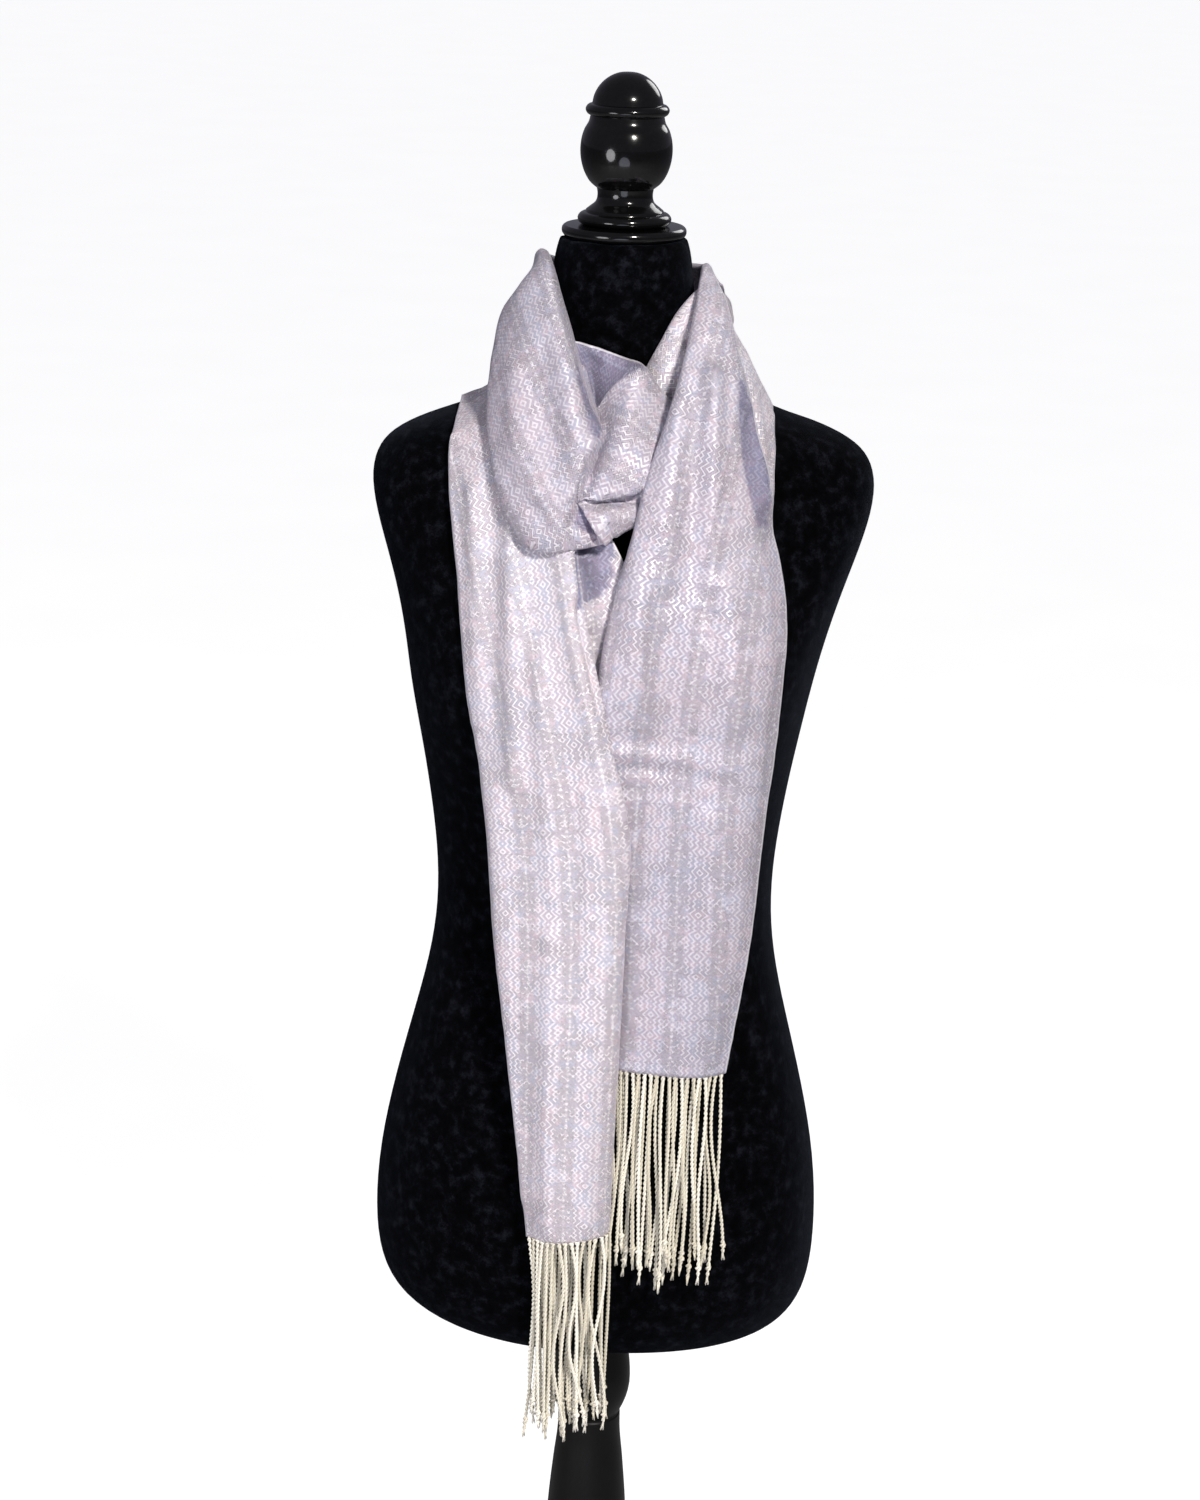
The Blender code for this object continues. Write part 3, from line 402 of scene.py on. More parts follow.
def loft(sections, steps, spacing, start, end):
    """The middle surface of a stretch: rows of points from section `start` to section `end`,
    each with the number of layers beneath it."""
    rows = np.array([section_curve(controls, steps) for controls in sections])
    knots, index = row_knots(rows), np.arange(len(sections))
    first, last = np.interp((start, end), index, knots)
    wanted = [first]
    while wanted[-1] < last - 1e-9:
        wanted.append(wanted[-1] + spacing(np.interp(wanted[-1], knots, index)))
    wanted = first + (np.array(wanted) - first) * (last - first) / (wanted[-1] - first)
    return smooth(knots, rows.reshape(len(rows), -1), wanted).reshape(len(wanted), -1, 4)


# --------------------------------------------------------------------------- listed folds

LIP_WIDTH = 0.0009         # across the drop of a sharp crease
LINE_END = 0.0015          # over which a sharp crease fades beyond its ends
FRONT_TURN = 60            # degrees from the front, to where the folds of the front hold
FRONT_BLEND = 25           # and over which those of the turns take over
UNEVEN_DEPTH = 0.0005      # small waves of the cloth
UNEVEN_SCALES = (30, 75)   # and how many there are to a metre

OUTER_GAIN = 2.0           # how fast the folds come in where the cloth turns outwards
OUTER_SHARE = 0.3          # the cloth's outer face is laid clear from here on

# Where the outer edge on the left shoulder is drawn in, and how far.
DRAWN_Y, DRAWN_HALF = -0.004, 0.032    # its middle along y and half its length
DRAWN_X, DRAWN_BLEND = 0.085, 0.032    # from the pole, and over which it comes in
DRAWN_LOWEST = 1.2
DRAWN_BY = (0.0075, 0, 0.0032)

# How the cloth is laid clear of what is beneath it.
LAYER_CLEARANCE = 0.0010   # between the middles of two layers
PROBE = 0.0028             # how far above a point another layer is looked for
DEEP_CREASE = 0.0006       # creases as deep as this are lifted to the full clearance too
LIFT_ROUNDS = 14           # rounds in which a lifted point's neighbours follow it
LIFT_SHARE = 0.96          # and how far they do

# How the flat cloth is eased to the draped one's distances.
FLAT_ROUNDS = 700
FLAT_PACE = 1.4

PAINTED_SHADE_BORDER = 0.0016    # soft border of a place painted in shade

# Soft troughs and ridges of the front, as seen from it: the line's two ends as x and z, the
# half width and the height at each end (a trough is negative).
FIRST_RUN_CREASES = (
    # x0      z0     x1      z1     width0  width1  rise0    rise1
    (-0.1000, 1.2400, -0.0920, 1.0800, 0.0060, 0.0080, 0.0040, 0.0022),
    (-0.0720, 1.2250, -0.0660, 1.0400, 0.0075, 0.0080, 0.0047, 0.0028),
    (-0.086, 1.225, -0.080, 1.080, 0.0060, 0.0070, -0.0010, -0.0008),
    (-0.0500, 1.1300, -0.0360, 0.9600, 0.0080, 0.0090, 0.0040, 0.0025),
    (-0.0800, 1.0300, -0.0560, 0.7200, 0.0080, 0.0080, 0.0031, 0.0022),
    (-0.0140, 1.0400, -0.0060, 0.8600, 0.0060, 0.0070, 0.0028, 0.0022),
    (-0.0380, 0.9300, -0.0340, 0.7000, 0.0070, 0.0080, 0.0034, 0.0031),
    (-0.0080, 0.8500, -0.0060, 0.7000, 0.0060, 0.0060, 0.0025, 0.0025),
    (0.064, 1.336, 0.088, 1.290, 0.0060, 0.0080, -0.0016, -0.0008),
    (0.040, 1.352, 0.056, 1.338, 0.0040, 0.0050, -0.0030, -0.0012),
    (0.0900, 1.3300, 0.1000, 1.2700, 0.0060, 0.0060, 0.0037, 0.0025),
)
SECOND_RUN_CREASES = (
    # x0      z0     x1      z1     width0  width1  rise0    rise1
    (-0.0560, 1.3350, -0.0420, 1.2560, 0.0100, 0.0110, -0.0040, -0.0036),
    (-0.0740, 1.3250, -0.0680, 1.2500, 0.0070, 0.0090, 0.0030, 0.0024),
    (-0.0340, 1.3150, -0.0270, 1.2700, 0.0060, 0.0060, 0.0018, 0.0016),
    (-0.0720, 1.2560, -0.0500, 1.2280, 0.0060, 0.0070, -0.0022, -0.0026),
    (-0.0270, 1.2440, -0.0480, 1.2330, 0.0040, 0.0070, -0.0024, -0.0010),
    (0.0040, 1.3050, 0.0000, 1.2640, 0.0080, 0.0090, 0.0026, 0.0036),
    (-0.0226, 1.3330, -0.0172, 1.2930, 0.0080, 0.0050, -0.0040, -0.0030),
    (-0.0170, 1.2720, -0.0240, 1.2490, 0.0040, 0.0030, -0.0030, -0.0036),
    (-0.0008, 1.0601, 0.0900, 1.0470, 0.0050, 0.0070, -0.0014, -0.0010),
    (0.0000, 1.0680, 0.0900, 1.0550, 0.0060, 0.0080, 0.0025, 0.0012),
    (0.0100, 1.0480, 0.0700, 1.0410, 0.0060, 0.0060, 0.0012, 0.0006),
    (0.0500, 1.3400, 0.0540, 1.2000, 0.0060, 0.0080, -0.0018, -0.0010),
    (0.0640, 1.3300, 0.0660, 1.1900, 0.0060, 0.0080, 0.0059, 0.0047),
    (0.0400, 1.3100, 0.0340, 1.1900, 0.0070, 0.0090, 0.0040, 0.0037),
    (0.0160, 1.2000, 0.0200, 1.0900, 0.0070, 0.0080, 0.0040, 0.0031),
    (0.0500, 1.1700, 0.0560, 1.0900, 0.0080, 0.0080, 0.0034, 0.0025),
    (0.0780, 1.1900, 0.0860, 1.0900, 0.0070, 0.0080, 0.0040, 0.0028),
    (0.0200, 1.0300, 0.0260, 0.8600, 0.0070, 0.0080, 0.0031, 0.0028),
    (0.0460, 1.0300, 0.0440, 0.8500, 0.0070, 0.0080, 0.0034, 0.0028),
    (0.0700, 1.0200, 0.0620, 0.8600, 0.0070, 0.0070, 0.0031, 0.0022),
)
# Sharp creases: a line of points, where the cloth on the line's right drops off a lip and comes
# back up.  Each point has x and z, the drop, how far the cloth takes to come back, and the lip.
# Where there is no drop, the line is a ridge as high as the lip.
BAND_RIDGE = (             # the shoulder band's ridge beside the right tail
    (0.0780, 1.3400, 0, 0.0060, 0.0010), (0.0830, 1.3200, 0, 0.0080, 0.0050),
    (0.0899, 1.2946, 0, 0.0100, 0.0078), (0.0965, 1.2668, 0, 0.0125, 0.0085),
    (0.1017, 1.2423, 0, 0.0125, 0.0070), (0.1032, 1.2220, 0, 0.0100, 0.0010),
)
FIRST_RUN_STEPS_DOWN = (
    # The left tail's inner fold, from beside its crossing with the right tail up to the loop.
    ((-0.0030, 1.0450, 0.0004, 0.0100, 0.0004), (-0.0090, 1.0985, 0.0030, 0.0140, 0.0020),
     (-0.0167, 1.1239, 0.0044, 0.0170, 0.0028), (-0.0250, 1.1708, 0.0056, 0.0200, 0.0034),
     (-0.0285, 1.1994, 0.0056, 0.0200, 0.0034), (-0.0290, 1.2200, 0.0056, 0.0200, 0.0034)),
    BAND_RIDGE,
)
SECOND_RUN_STEPS_DOWN = (
    # The wedge crease that runs from the pinch to under the right tail.
    ((-0.0275, 1.2436, 0.0006, 0.0010, 0.0008), (-0.0130, 1.2469, 0.0050, 0.0044, 0.0036),
     (0.0006, 1.2500, 0.0080, 0.0080, 0.0046), (0.0150, 1.2526, 0.0085, 0.0110, 0.0040)),
    # The pleat below the pinch, open to the left of a bright ridge.
    ((-0.0262, 1.2425, 0.0016, 0.0020, 0.0012), (-0.0165, 1.2280, 0.0080, 0.0095, 0.0048),
     (-0.0085, 1.2160, 0.0070, 0.0110, 0.0036)),
    # The ridge between the loop's shaded hollow and its bright roll.
    ((0.0150, 1.3290, 0, 0.0100, 0.0030), (0.0122, 1.3246, 0, 0.0180, 0.0080),
     (-0.0064, 1.3003, 0, 0.0150, 0.0080), (-0.0130, 1.2875, 0, 0.0110, 0.0050),
     (-0.0180, 1.2790, 0, 0.0070, 0.0010)),
    # The right tail rises to the shoulder band beside it.
    BAND_RIDGE,
    # A short crease under the loop's upper edge.
    ((0.0290, 1.3280, 0.0004, 0.0020, 0.0002), (0.0360, 1.3310, 0.0030, 0.0060, 0.0010),
     (0.0470, 1.3370, 0.0010, 0.0040, 0.0004)),
)
# Soft folds of the turns behind the neck: the ends as turn (180 is the back) and height.
FIRST_TURN_CREASES = (
    # turn0  z0     turn1  z1     width0  width1  rise0    rise1
    (120., 1.300, 205., 1.288, 0.0050, 0.0080, -0.0026, -0.0016),
    (150., 1.272, 240., 1.296, 0.0060, 0.0060, 0.0020, 0.0012),
    (95., 1.312, 140., 1.300, 0.0060, 0.0050, 0.0016, 0.0012),
    (215., 1.316, 262., 1.322, 0.0050, 0.0060, -0.0018, -0.0020),
)
SECOND_TURN_CREASES = (
    # turn0  z0     turn1  z1     width0  width1  rise0    rise1
    (100., 1.372, 190., 1.352, 0.0050, 0.0070, -0.0026, -0.0016),
    (135., 1.340, 225., 1.346, 0.0060, 0.0060, 0.0020, 0.0016),
    (185., 1.366, 256., 1.372, 0.0040, 0.0060, -0.0018, -0.0024),
    (160., 1.328, 215., 1.330, 0.0050, 0.0050, -0.0014, -0.0010),
)
# Places on the front painted in shade with the reverse colour, in hollows and creases where shade falls:
# outlines as x and z, seen from the front.
FIRST_RUN_PAINTED_SHADE = (
    # Painted shade inside the left tail's fold, under the loop.
    ((-0.0270, 1.2150), (0.0000, 1.2150), (-0.0012, 1.1873), (-0.0060, 1.1795), (-0.0125, 1.1740),
     (-0.0240, 1.1690), (-0.0275, 1.1990)),
)
SECOND_RUN_PAINTED_SHADE = (
    # Painted shade in the hollow between the loop's leaf and its bright roll.
    ((-0.0340, 1.3480), (-0.0200, 1.3470), (0.0000, 1.3400), (0.0160, 1.3270), (0.0010, 1.3130),
     (-0.0085, 1.2985), (-0.0155, 1.2860), (-0.0180, 1.2880), (-0.0225, 1.3030), (-0.0285, 1.3190),
     (-0.0315, 1.3330)),
    # Painted shade under the lip of the wedge crease, and inside the pleat below the pinch.
    ((-0.0260, 1.2437), (-0.0130, 1.2467), (0.0006, 1.2498), (0.0160, 1.2526), (0.0160, 1.2440),
     (0.0043, 1.2446), (-0.0129, 1.2430)),
    ((-0.0259, 1.2395), (-0.0290, 1.2281), (-0.0100, 1.2160), (-0.0137, 1.2236), (-0.0202, 1.2326)),
    # Painted shade on the right tail's margin beside the shoulder band.
    ((0.0783, 1.3254), (0.0804, 1.3255), (0.0899, 1.2946), (0.0965, 1.2668), (0.1017, 1.2423),
     (0.1032, 1.2247), (0.0961, 1.2280), (0.0882, 1.2525), (0.0819, 1.2874)),
)
# Where the cloth is meshed more finely: lowest and highest x, y and z.
FINE_PLACE = ((-0.062, -0.200, 1.206), (0.030, -0.080, 1.292))


def crease_rise(at, creases):
    """How far each point is raised by a table of soft creases, from its two coordinates."""
    rise = np.zeros(len(at))
    for u0, v0, u1, v1, width0, width1, rise0, rise1 in creases:
        start, line = np.array((u0, v0)), np.array((u1 - u0, v1 - v0))
        part = np.clip(((at - start) @ line) / (line @ line), 0.0, 1.0)
        apart = np.linalg.norm(at - start - part[:, None] * line, axis=1)
        width = width0 + (width1 - width0) * part
        rise += (rise0 + (rise1 - rise0) * part) * np.exp(-(apart / width) ** 2)
    return rise


def step_rise(at, lines):
    """How far each point is moved by sharp creases, from its x and z."""
    rise = np.zeros(len(at))
    for points in lines:
        points = np.array(points)
        nearest, own = np.full(len(at), np.inf), np.zeros((len(at), 3))
        side, beyond = np.zeros(len(at)), np.zeros(len(at))
        for start, end in zip(points[:-1], points[1:]):
            line = end[:2] - start[:2]
            length = np.linalg.norm(line)
            along = ((at - start[:2]) @ line) / length ** 2
            part = np.clip(along, 0.0, 1.0)
            apart = np.linalg.norm(at - start[:2] - part[:, None] * line, axis=1)
            cross = ((at - start[:2]) @ np.array((line[1], -line[0]))) / length
            closer = apart < nearest
            nearest = np.where(closer, apart, nearest)
            side = np.where(closer, cross, side)
            beyond = np.where(closer, np.abs(along - part) * length, beyond)
            values = start[2:] + part[:, None] * (end[2:] - start[2:])
            own = np.where(closer[:, None], values, own)
        drop, back, lip = own.T
        below = np.clip(side / LIP_WIDTH, 0, 1) * drop * np.clip(1 - nearest / back, 0, 1)
        above = lip * np.exp(-(nearest / (0.6 * back)) ** 2)
        above *= np.where(drop > 0, np.clip(1 - side / LIP_WIDTH, 0, 1), 1)
        rise += (above - below) * np.exp(-(beyond / LINE_END) ** 2)
    return rise


def within(at, outlines, soft):
    """1 inside any of the outlines and 0 outside them, with a soft border."""
    share = np.zeros(len(at))
    for outline in outlines:
        outline = np.array(outline)
        inside, nearest = np.zeros(len(at), dtype=bool), np.full(len(at), np.inf)
        for start, end in zip(outline, np.roll(outline, -1, axis=0)):
            line = end - start
            part = np.clip(((at - start) @ line) / (line @ line), 0, 1)
            apart = np.linalg.norm(at - start - part[:, None] * line, axis=1)
            nearest = np.minimum(nearest, apart)
            crosses = (start[1] > at[:, 1]) != (end[1] > at[:, 1])
            level = start[0] + (at[:, 1] - start[1]) / (line[1] or 1e-9) * line[0]
            inside ^= crosses & (at[:, 0] < level)
        share = np.maximum(share, np.clip(0.5 + np.where(inside, nearest, -nearest) / soft, 0, 1))
    return share


def surface_normals(grid):
    """Unit normals of a grid of points."""
    normals = np.cross(np.gradient(grid, axis=1), np.gradient(grid, axis=0))
    return normals / np.maximum(np.linalg.norm(normals, axis=2), 1e-12)[:, :, None]


def coarse_run(sections, steps, parts):
    """The run's surface as the solids have it, in one grid."""
    rows = []
    for name, start, end in parts:
        end = min(end, len(sections) - 1)
        slow, fast = TAIL_ROWS.get(name, (0, 0))
        spacing = (lambda here: TAIL_STEP if slow <= here < fast else RUN_STEPS[name])
        grid = loft(sections, steps, spacing, start + (GAP_ROWS if start else 0), end)
        beneath = [NODES[other] for other in NEIGHBOURS.get(name, ())]
        grid = push_out(grid, NODES["form_torso"], beneath)
        rows.extend(grid[1:] if rows else grid)
    return np.array(rows)


def drawn_in(grid):
    """The grid with the cloth's outer edge on the left shoulder drawn in towards the neck."""
    x, y, z = grid[:, :, 0], grid[:, :, 1], grid[:, :, 2]
    share = np.exp(-((y - DRAWN_Y) / DRAWN_HALF) ** 2)
    share = share * np.clip((-x - DRAWN_X) / DRAWN_BLEND, 0, 1) * (z > DRAWN_LOWEST)
    return grid + share[:, :, None] * DRAWN_BY


def refine(grid, step):
    """A finer grid on the same smooth surface, with what else its points carry."""
    kinds = grid.shape[2]
    for _ in ("along the run", "across it"):
        knots = row_knots(grid)
        wanted = [0.0]
        for low, high in zip(knots[:-1], knots[1:]):
            wanted += list(np.linspace(low, high, max(2, round((high - low) / step)) + 1)[1:])
        grid = smooth(knots, grid.reshape(len(grid), -1), wanted).reshape(len(wanted), -1, kinds)
        grid = grid.swapaxes(0, 1)
    return grid


def cloth_coordinates(grid, fold):
    """Where each point lies in the flat cloth, across from the fold and along the run, in metres.

    The rows are first laid side by side, and the flat cloth is then eased until the distances
    between neighbours are those on the draped one.
    """
    lengths = np.linalg.norm(np.diff(grid, axis=1), axis=2)
    flat = np.zeros((*grid.shape[:2], 2))
    flat[:, 1:, 0] = np.cumsum(lengths, axis=1)
    flat[:, :, 0] -= flat[:, fold][:, None, 0]
    flat[:, :, 1] = chord_knots(grid[:, fold])[:, None]
    every, start, end = slice(None), slice(None, -1), slice(1, None)
    ties = [((every, start), (every, end)), ((start, every), (end, every)),
            ((start, start), (end, end)), ((start, end), (end, start))]
    rests = [np.linalg.norm(grid[b] - grid[a], axis=2) for a, b in ties]
    for _ in range(FLAT_ROUNDS):
        pull, count = np.zeros_like(flat), np.zeros(flat.shape[:2])
        for (a, b), rest in zip(ties, rests):
            apart = flat[b] - flat[a]
            length = np.maximum(np.linalg.norm(apart, axis=2), 1e-6)
            step = apart * (0.5 * (length - rest) / length)[:, :, None]
            pull[a] += step
            pull[b] -= step
            count[a] += 1
            count[b] += 1
        flat += FLAT_PACE * pull / count[:, :, None]
    return flat


def deselect():
    """Nothing selected, nothing active, object mode."""
    if bpy.context.object and bpy.context.object.mode != "OBJECT":
        bpy.ops.object.mode_set(mode="OBJECT")
    bpy.ops.object.select_all(action="DESELECT")


def make_active(piece):
    """Select one object alone."""
    deselect()
    piece.select_set(True)
    bpy.context.view_layer.objects.active = piece


def edit_all():
    """Edit mode, with the whole mesh selected."""
    bpy.ops.object.mode_set(mode="EDIT")
    bpy.ops.mesh.select_all(action="SELECT")


def apply_modifiers(piece):
    """Apply every modifier of an object, in order."""
    make_active(piece)
    for modifier in list(piece.modifiers):
        bpy.ops.object.modifier_apply(modifier=modifier.name)


def finish_piece(piece, finish, nodes):
    """Give a piece its material, its body and the solids that it stands for."""
    piece.data.materials.clear()
    piece.data.materials.append(finish)
    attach(piece, "root")
    if nodes:
        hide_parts(*nodes)


def grid_object(name, grid, maps):
    """A mesh from a grid of points, with UV maps given as pairs of grids."""
    rows, columns = grid.shape[:2]
    index = np.arange(rows * columns).reshape(rows, columns)
    corners = index[:-1, :-1], index[:-1, 1:], index[1:, 1:], index[1:, :-1]
    faces = np.stack(corners, axis=-1).reshape(-1, 4)
    mesh = bpy.data.meshes.new(name)
    mesh.from_pydata(grid.reshape(-1, 3).tolist(), [], faces.tolist())
    for title, (u, v) in maps.items():
        layer = mesh.uv_layers.new(name=title)
        pairs = np.stack([part.reshape(-1)[faces.reshape(-1)] for part in (u, v)], axis=-1)
        layer.data.foreach_set("uv", pairs.reshape(-1).astype(np.float32))
    mesh.shade_smooth()
    piece = bpy.data.objects.new(name, mesh)
    bpy.context.scene.collection.objects.link(piece)
    return piece


def lie_clear(points, normals, outer, sunk, trees, edges):
    """Points that lie in or under another layer, lifted to just above it.

    outer marks the points that may be lifted, and sunk is how deep each point's crease is.  The
    cloth round a lifted point is eased up with it.
    """
    lift = np.zeros(len(points))
    for index in np.nonzero(outer)[0]:
        point, normal = Vector(points[index]), Vector(normals[index])
        above = sunk[index] + PROBE
        room = LAYER_CLEARANCE if sunk[index] > DEEP_CREASE else 0.0
        for tree in trees:
            hit, _, _, reach = tree.ray_cast(point + normal * above, -normal, above + room)
            if hit is not None:
                lift[index] = max(lift[index], LAYER_CLEARANCE + above - reach)
    count = np.maximum(np.bincount(edges.ravel(), minlength=len(points)), 1)
    for _ in range(LIFT_ROUNDS):
        total = np.bincount(edges[:, 0], lift[edges[:, 1]], len(points))
        total += np.bincount(edges[:, 1], lift[edges[:, 0]], len(points))
        lift = np.maximum(lift, LIFT_SHARE * total / count)
    return points + normals * lift[:, None]


def mesh_finely(piece, low, high):
    """Subdivide what lies between two corners of a box."""
    make_active(piece)
    bpy.ops.object.mode_set(mode="EDIT")
    bpy.ops.mesh.select_mode(type="VERT")
    bpy.ops.mesh.select_all(action="DESELECT")
    bpy.ops.object.mode_set(mode="OBJECT")
    for vert in piece.data.vertices:
        vert.select = all(low[k] < vert.co[k] < high[k] for k in range(3))
    bpy.ops.object.mode_set(mode="EDIT")
    bpy.ops.mesh.subdivide(number_cuts=2, smoothness=0.0, quadcorner="INNERVERT")
    bpy.ops.object.mode_set(mode="OBJECT")


def point_values(mesh, what):
    """The places or the normals of a mesh's points."""
    values = np.empty(len(mesh.vertices) * 3)
    mesh.vertices.foreach_get(what, values)
    return values.reshape(-1, 3)


def fold_rise(points, turn, behind, share, front, turned, drops):
    """How far the folds of the front, and those of the turn behind, raise each point."""
    plane, radius = points[:, (0, 2)], np.hypot(points[:, 0], points[:, 1])
    rise = (crease_rise(plane, front) + step_rise(plane, drops)) * (1 - behind) * share
    for crease in turned:
        around = np.stack((np.radians(turn - crease[0]) * radius, points[:, 2]), axis=-1)
        length = radians(crease[2] - crease[0]) * radius.mean()
        rise += crease_rise(around, ((0.0, crease[1], length, *crease[3:]),)) * behind * share
    return rise


def hidden_half(mesh, points, side):
    """A tree of the faces that look in towards the pole."""
    faces = [list(face.vertices) for face in mesh.polygons
             if side * face.normal.dot(Vector((face.center.x, face.center.y, 0))) < 0]
    return BVHTree.FromPolygons([Vector(point) for point in points], faces)


def mark_reverse_and_painted_shade(mesh, moved, normals, outer_darkening):
    """Say where the reverse colour goes: `outer_darkening` on the wall's outer face, which is painted shade
    and an even darkening, and all of its inner face, the cloth's reverse.
    """
    count = len(moved)
    hidden = np.ones(count)
    first_out = ((point_values(mesh, "co")[:count] - moved) * normals).sum() > 0
    halves = (outer_darkening, hidden) if first_out else (hidden, outer_darkening)
    layer = mesh.attributes.new("reverse", "FLOAT", "POINT")
    layer.data.foreach_set("value", np.concatenate(halves).astype(np.float32))


def cloth_sheet(name, sections, steps, parts, fold, side, tables, seed, beneath, sizes):
    """One run of the scarf as a thin, closed shell with its folds.

    fold is the column of points along the fold, side is -1 where the mesh's faces look in, and
    seed is where the run starts in the weave.  It returns the middle surface, its normals and
    the piece.
    """
    front, turned, drops, (least, reverse) = tables
    coarse = drawn_in(coarse_run(sections, steps, parts))
    grid = refine(np.concatenate((coarse, cloth_coordinates(coarse, fold)), axis=2),
                  sizes.mesh_step)
    grid, flat = grid[:, :, :3], grid[:, :, 3:]
    edges = np.zeros(grid.shape[:2])
    edges[:, 1:] = np.cumsum(np.linalg.norm(np.diff(grid, axis=1), axis=2), axis=1)
    maps = {"weave": (flat[:, :, 0], flat[:, :, 1] + seed), "edges": (edges, edges[:, -1:] - edges)}
    piece = grid_object(name, grid, maps)
    mesh_finely(piece, *FINE_PLACE)
    mesh = piece.data
    points, normals = point_values(mesh, "co"), point_values(mesh, "normal") * side

    # How much each point looks out from the pole, and how far behind the neck it is.
    level = points * (1, 1, 0)
    out = level / np.maximum(np.linalg.norm(level, axis=1), 1e-9)[:, None]
    share = np.clip((normals * out).sum(axis=1) * OUTER_GAIN, 0.0, 1.0)
    turn = np.degrees(np.arctan2(-points[:, 0], -points[:, 1])) % 360
    behind = np.clip((np.minimum(turn, 360 - turn) - FRONT_TURN) / FRONT_BLEND, 0, 1)

    rise = fold_rise(points, turn, behind, share, front, turned, drops) * sizes.crease_depth
    uneven = [sum(noise.noise(Vector(point) * scale) for scale in UNEVEN_SCALES)
              for point in points]
    rise += UNEVEN_DEPTH * np.array(uneven) * (share > 0)
    moved = points + normals * rise[:, None]
    under = [NODES["form_torso"], *[bpy.data.objects[other] for other in beneath]]
    trees = [*[mesh_tree(other) for other in under], hidden_half(mesh, points, side)]
    ends = np.empty(len(mesh.edges) * 2, dtype=np.int32)
    mesh.edges.foreach_get("vertices", ends)
    moved = lie_clear(moved, normals, share > OUTER_SHARE, np.maximum(-rise, 0), trees,
                      ends.reshape(-1, 2))
    mesh.vertices.foreach_set("co", moved.reshape(-1))
    mesh.update()
    wall = piece.modifiers.new("wall", "SOLIDIFY")
    wall.thickness, wall.offset, wall.use_even_offset = sizes.cloth_thickness, 0.0, False
    apply_modifiers(piece)
    # Painted shade: the outlined hollows and creases of the front take the reverse colour.
    inside = within(points[:, (0, 2)], reverse, PAINTED_SHADE_BORDER) * (share > 0) * (1 - behind)
    mark_reverse_and_painted_shade(mesh, moved, normals, np.maximum(inside, least))
    return grid, surface_normals(grid), piece


# ------------------------------------------------------------------------------- node groups

def group(name, inputs, outputs):
    """A shader node group with named sockets."""
    made = bpy.data.node_groups.new(name, "ShaderNodeTree")
    for title, kind, default in inputs:
        socket = made.interface.new_socket(name=title, in_out="INPUT", socket_type=kind)
        if default is not None:
            socket.default_value = default
    for title, kind in outputs:
        made.interface.new_socket(name=title, in_out="OUTPUT", socket_type=kind)
    return made


class Board:
    """Short hand for placing and wiring nodes."""

    def __init__(self, tree):
        self.tree, self.count = tree, 0

    def node(self, kind, inputs=(), **settings):
        """A node with its settings; inputs are pairs of a socket and a value or a link."""
        made = self.tree.nodes.new(kind)
        made.location = (self.count % 12 * 200, -(self.count // 12) * 260)
        self.count += 1
        for key, value in settings.items():
            setattr(made, key, value)
        for socket, value in dict(inputs).items():
            self.feed(made.inputs[socket], value)
        return made

    def feed(self, socket, value):
        """A link where the value is a socket, a default where it isn't."""
        if isinstance(value, bpy.types.NodeSocket):
            self.tree.links.new(value, socket)
        else:
            socket.default_value = value

    def math(self, operation, first, second=None, third=None, clamp=False):
        """A Math node's result."""
        made = self.node("ShaderNodeMath", operation=operation, use_clamp=clamp)
        for socket, value in zip(made.inputs, (first, second, third)):
            if value is not None:
                self.feed(socket, value)
        return made.outputs[0]

    def mix(self, factor, first, second, blend="MIX"):
        """A colour mix's result."""
        made = self.node("ShaderNodeMix", data_type="RGBA", blend_type=blend)
        for socket, value in ((0, factor), (6, first), (7, second)):
            self.feed(made.inputs[socket], value)
        return made.outputs[2]

    def ramp(self, factor, stops):
        """A colour ramp's result, from grey levels at places."""
        made = self.node("ShaderNodeValToRGB")
        elements = made.color_ramp.elements
        while len(elements) < len(stops):
            elements.new(0.5)
        for element, (place, _) in zip(elements, stops):
            element.position = place
        for element, (_, level) in zip(elements, stops):
            element.color = (level, level, level, 1)
        self.feed(made.inputs[0], factor)
        return made.outputs[0]


# The draft: how far the pattern's diagonal has climbed, as a share of its widest diamond, at
# places along one repeat.  One wide diamond is followed by four narrow ones.
DRAFT = (
    (0.0, 0.0), (0.25, 1.0), (0.5, 0.0), (0.5625, 0.25), (0.625, 0.0), (0.6875, 0.25),
    (0.75, 0.0), (0.8125, 0.25), (0.875, 0.0), (0.9375, 0.25), (1.0, 0.0),
)
# The same along the cloth: one middling climb to two small ones.
DRAFT_ALONG = (
    (0.0, 0.0), (0.125, 0.5), (0.25, 0.0), (0.3125, 0.25), (0.375, 0.0), (0.4375, 0.25), (0.5, 0.0),
    (0.625, 0.5), (0.75, 0.0), (0.8125, 0.25), (0.875, 0.0), (0.9375, 0.25), (1.0, 0.0),
)
# One repeat of the pattern, how much of it the white lines take, and one thread, in metres.
WEAVE = (("Repeat", 0.032), ("Line Share", 0.36), ("Thread", 0.0005))
SWAY = 0.0020              # how far the pattern strays from straight
BEAD = 0.0045              # from one bead to the next
BAR = 0.018                # from one dark cross thread to the next
SELVEDGE = 0.0014          # width of the pale edge


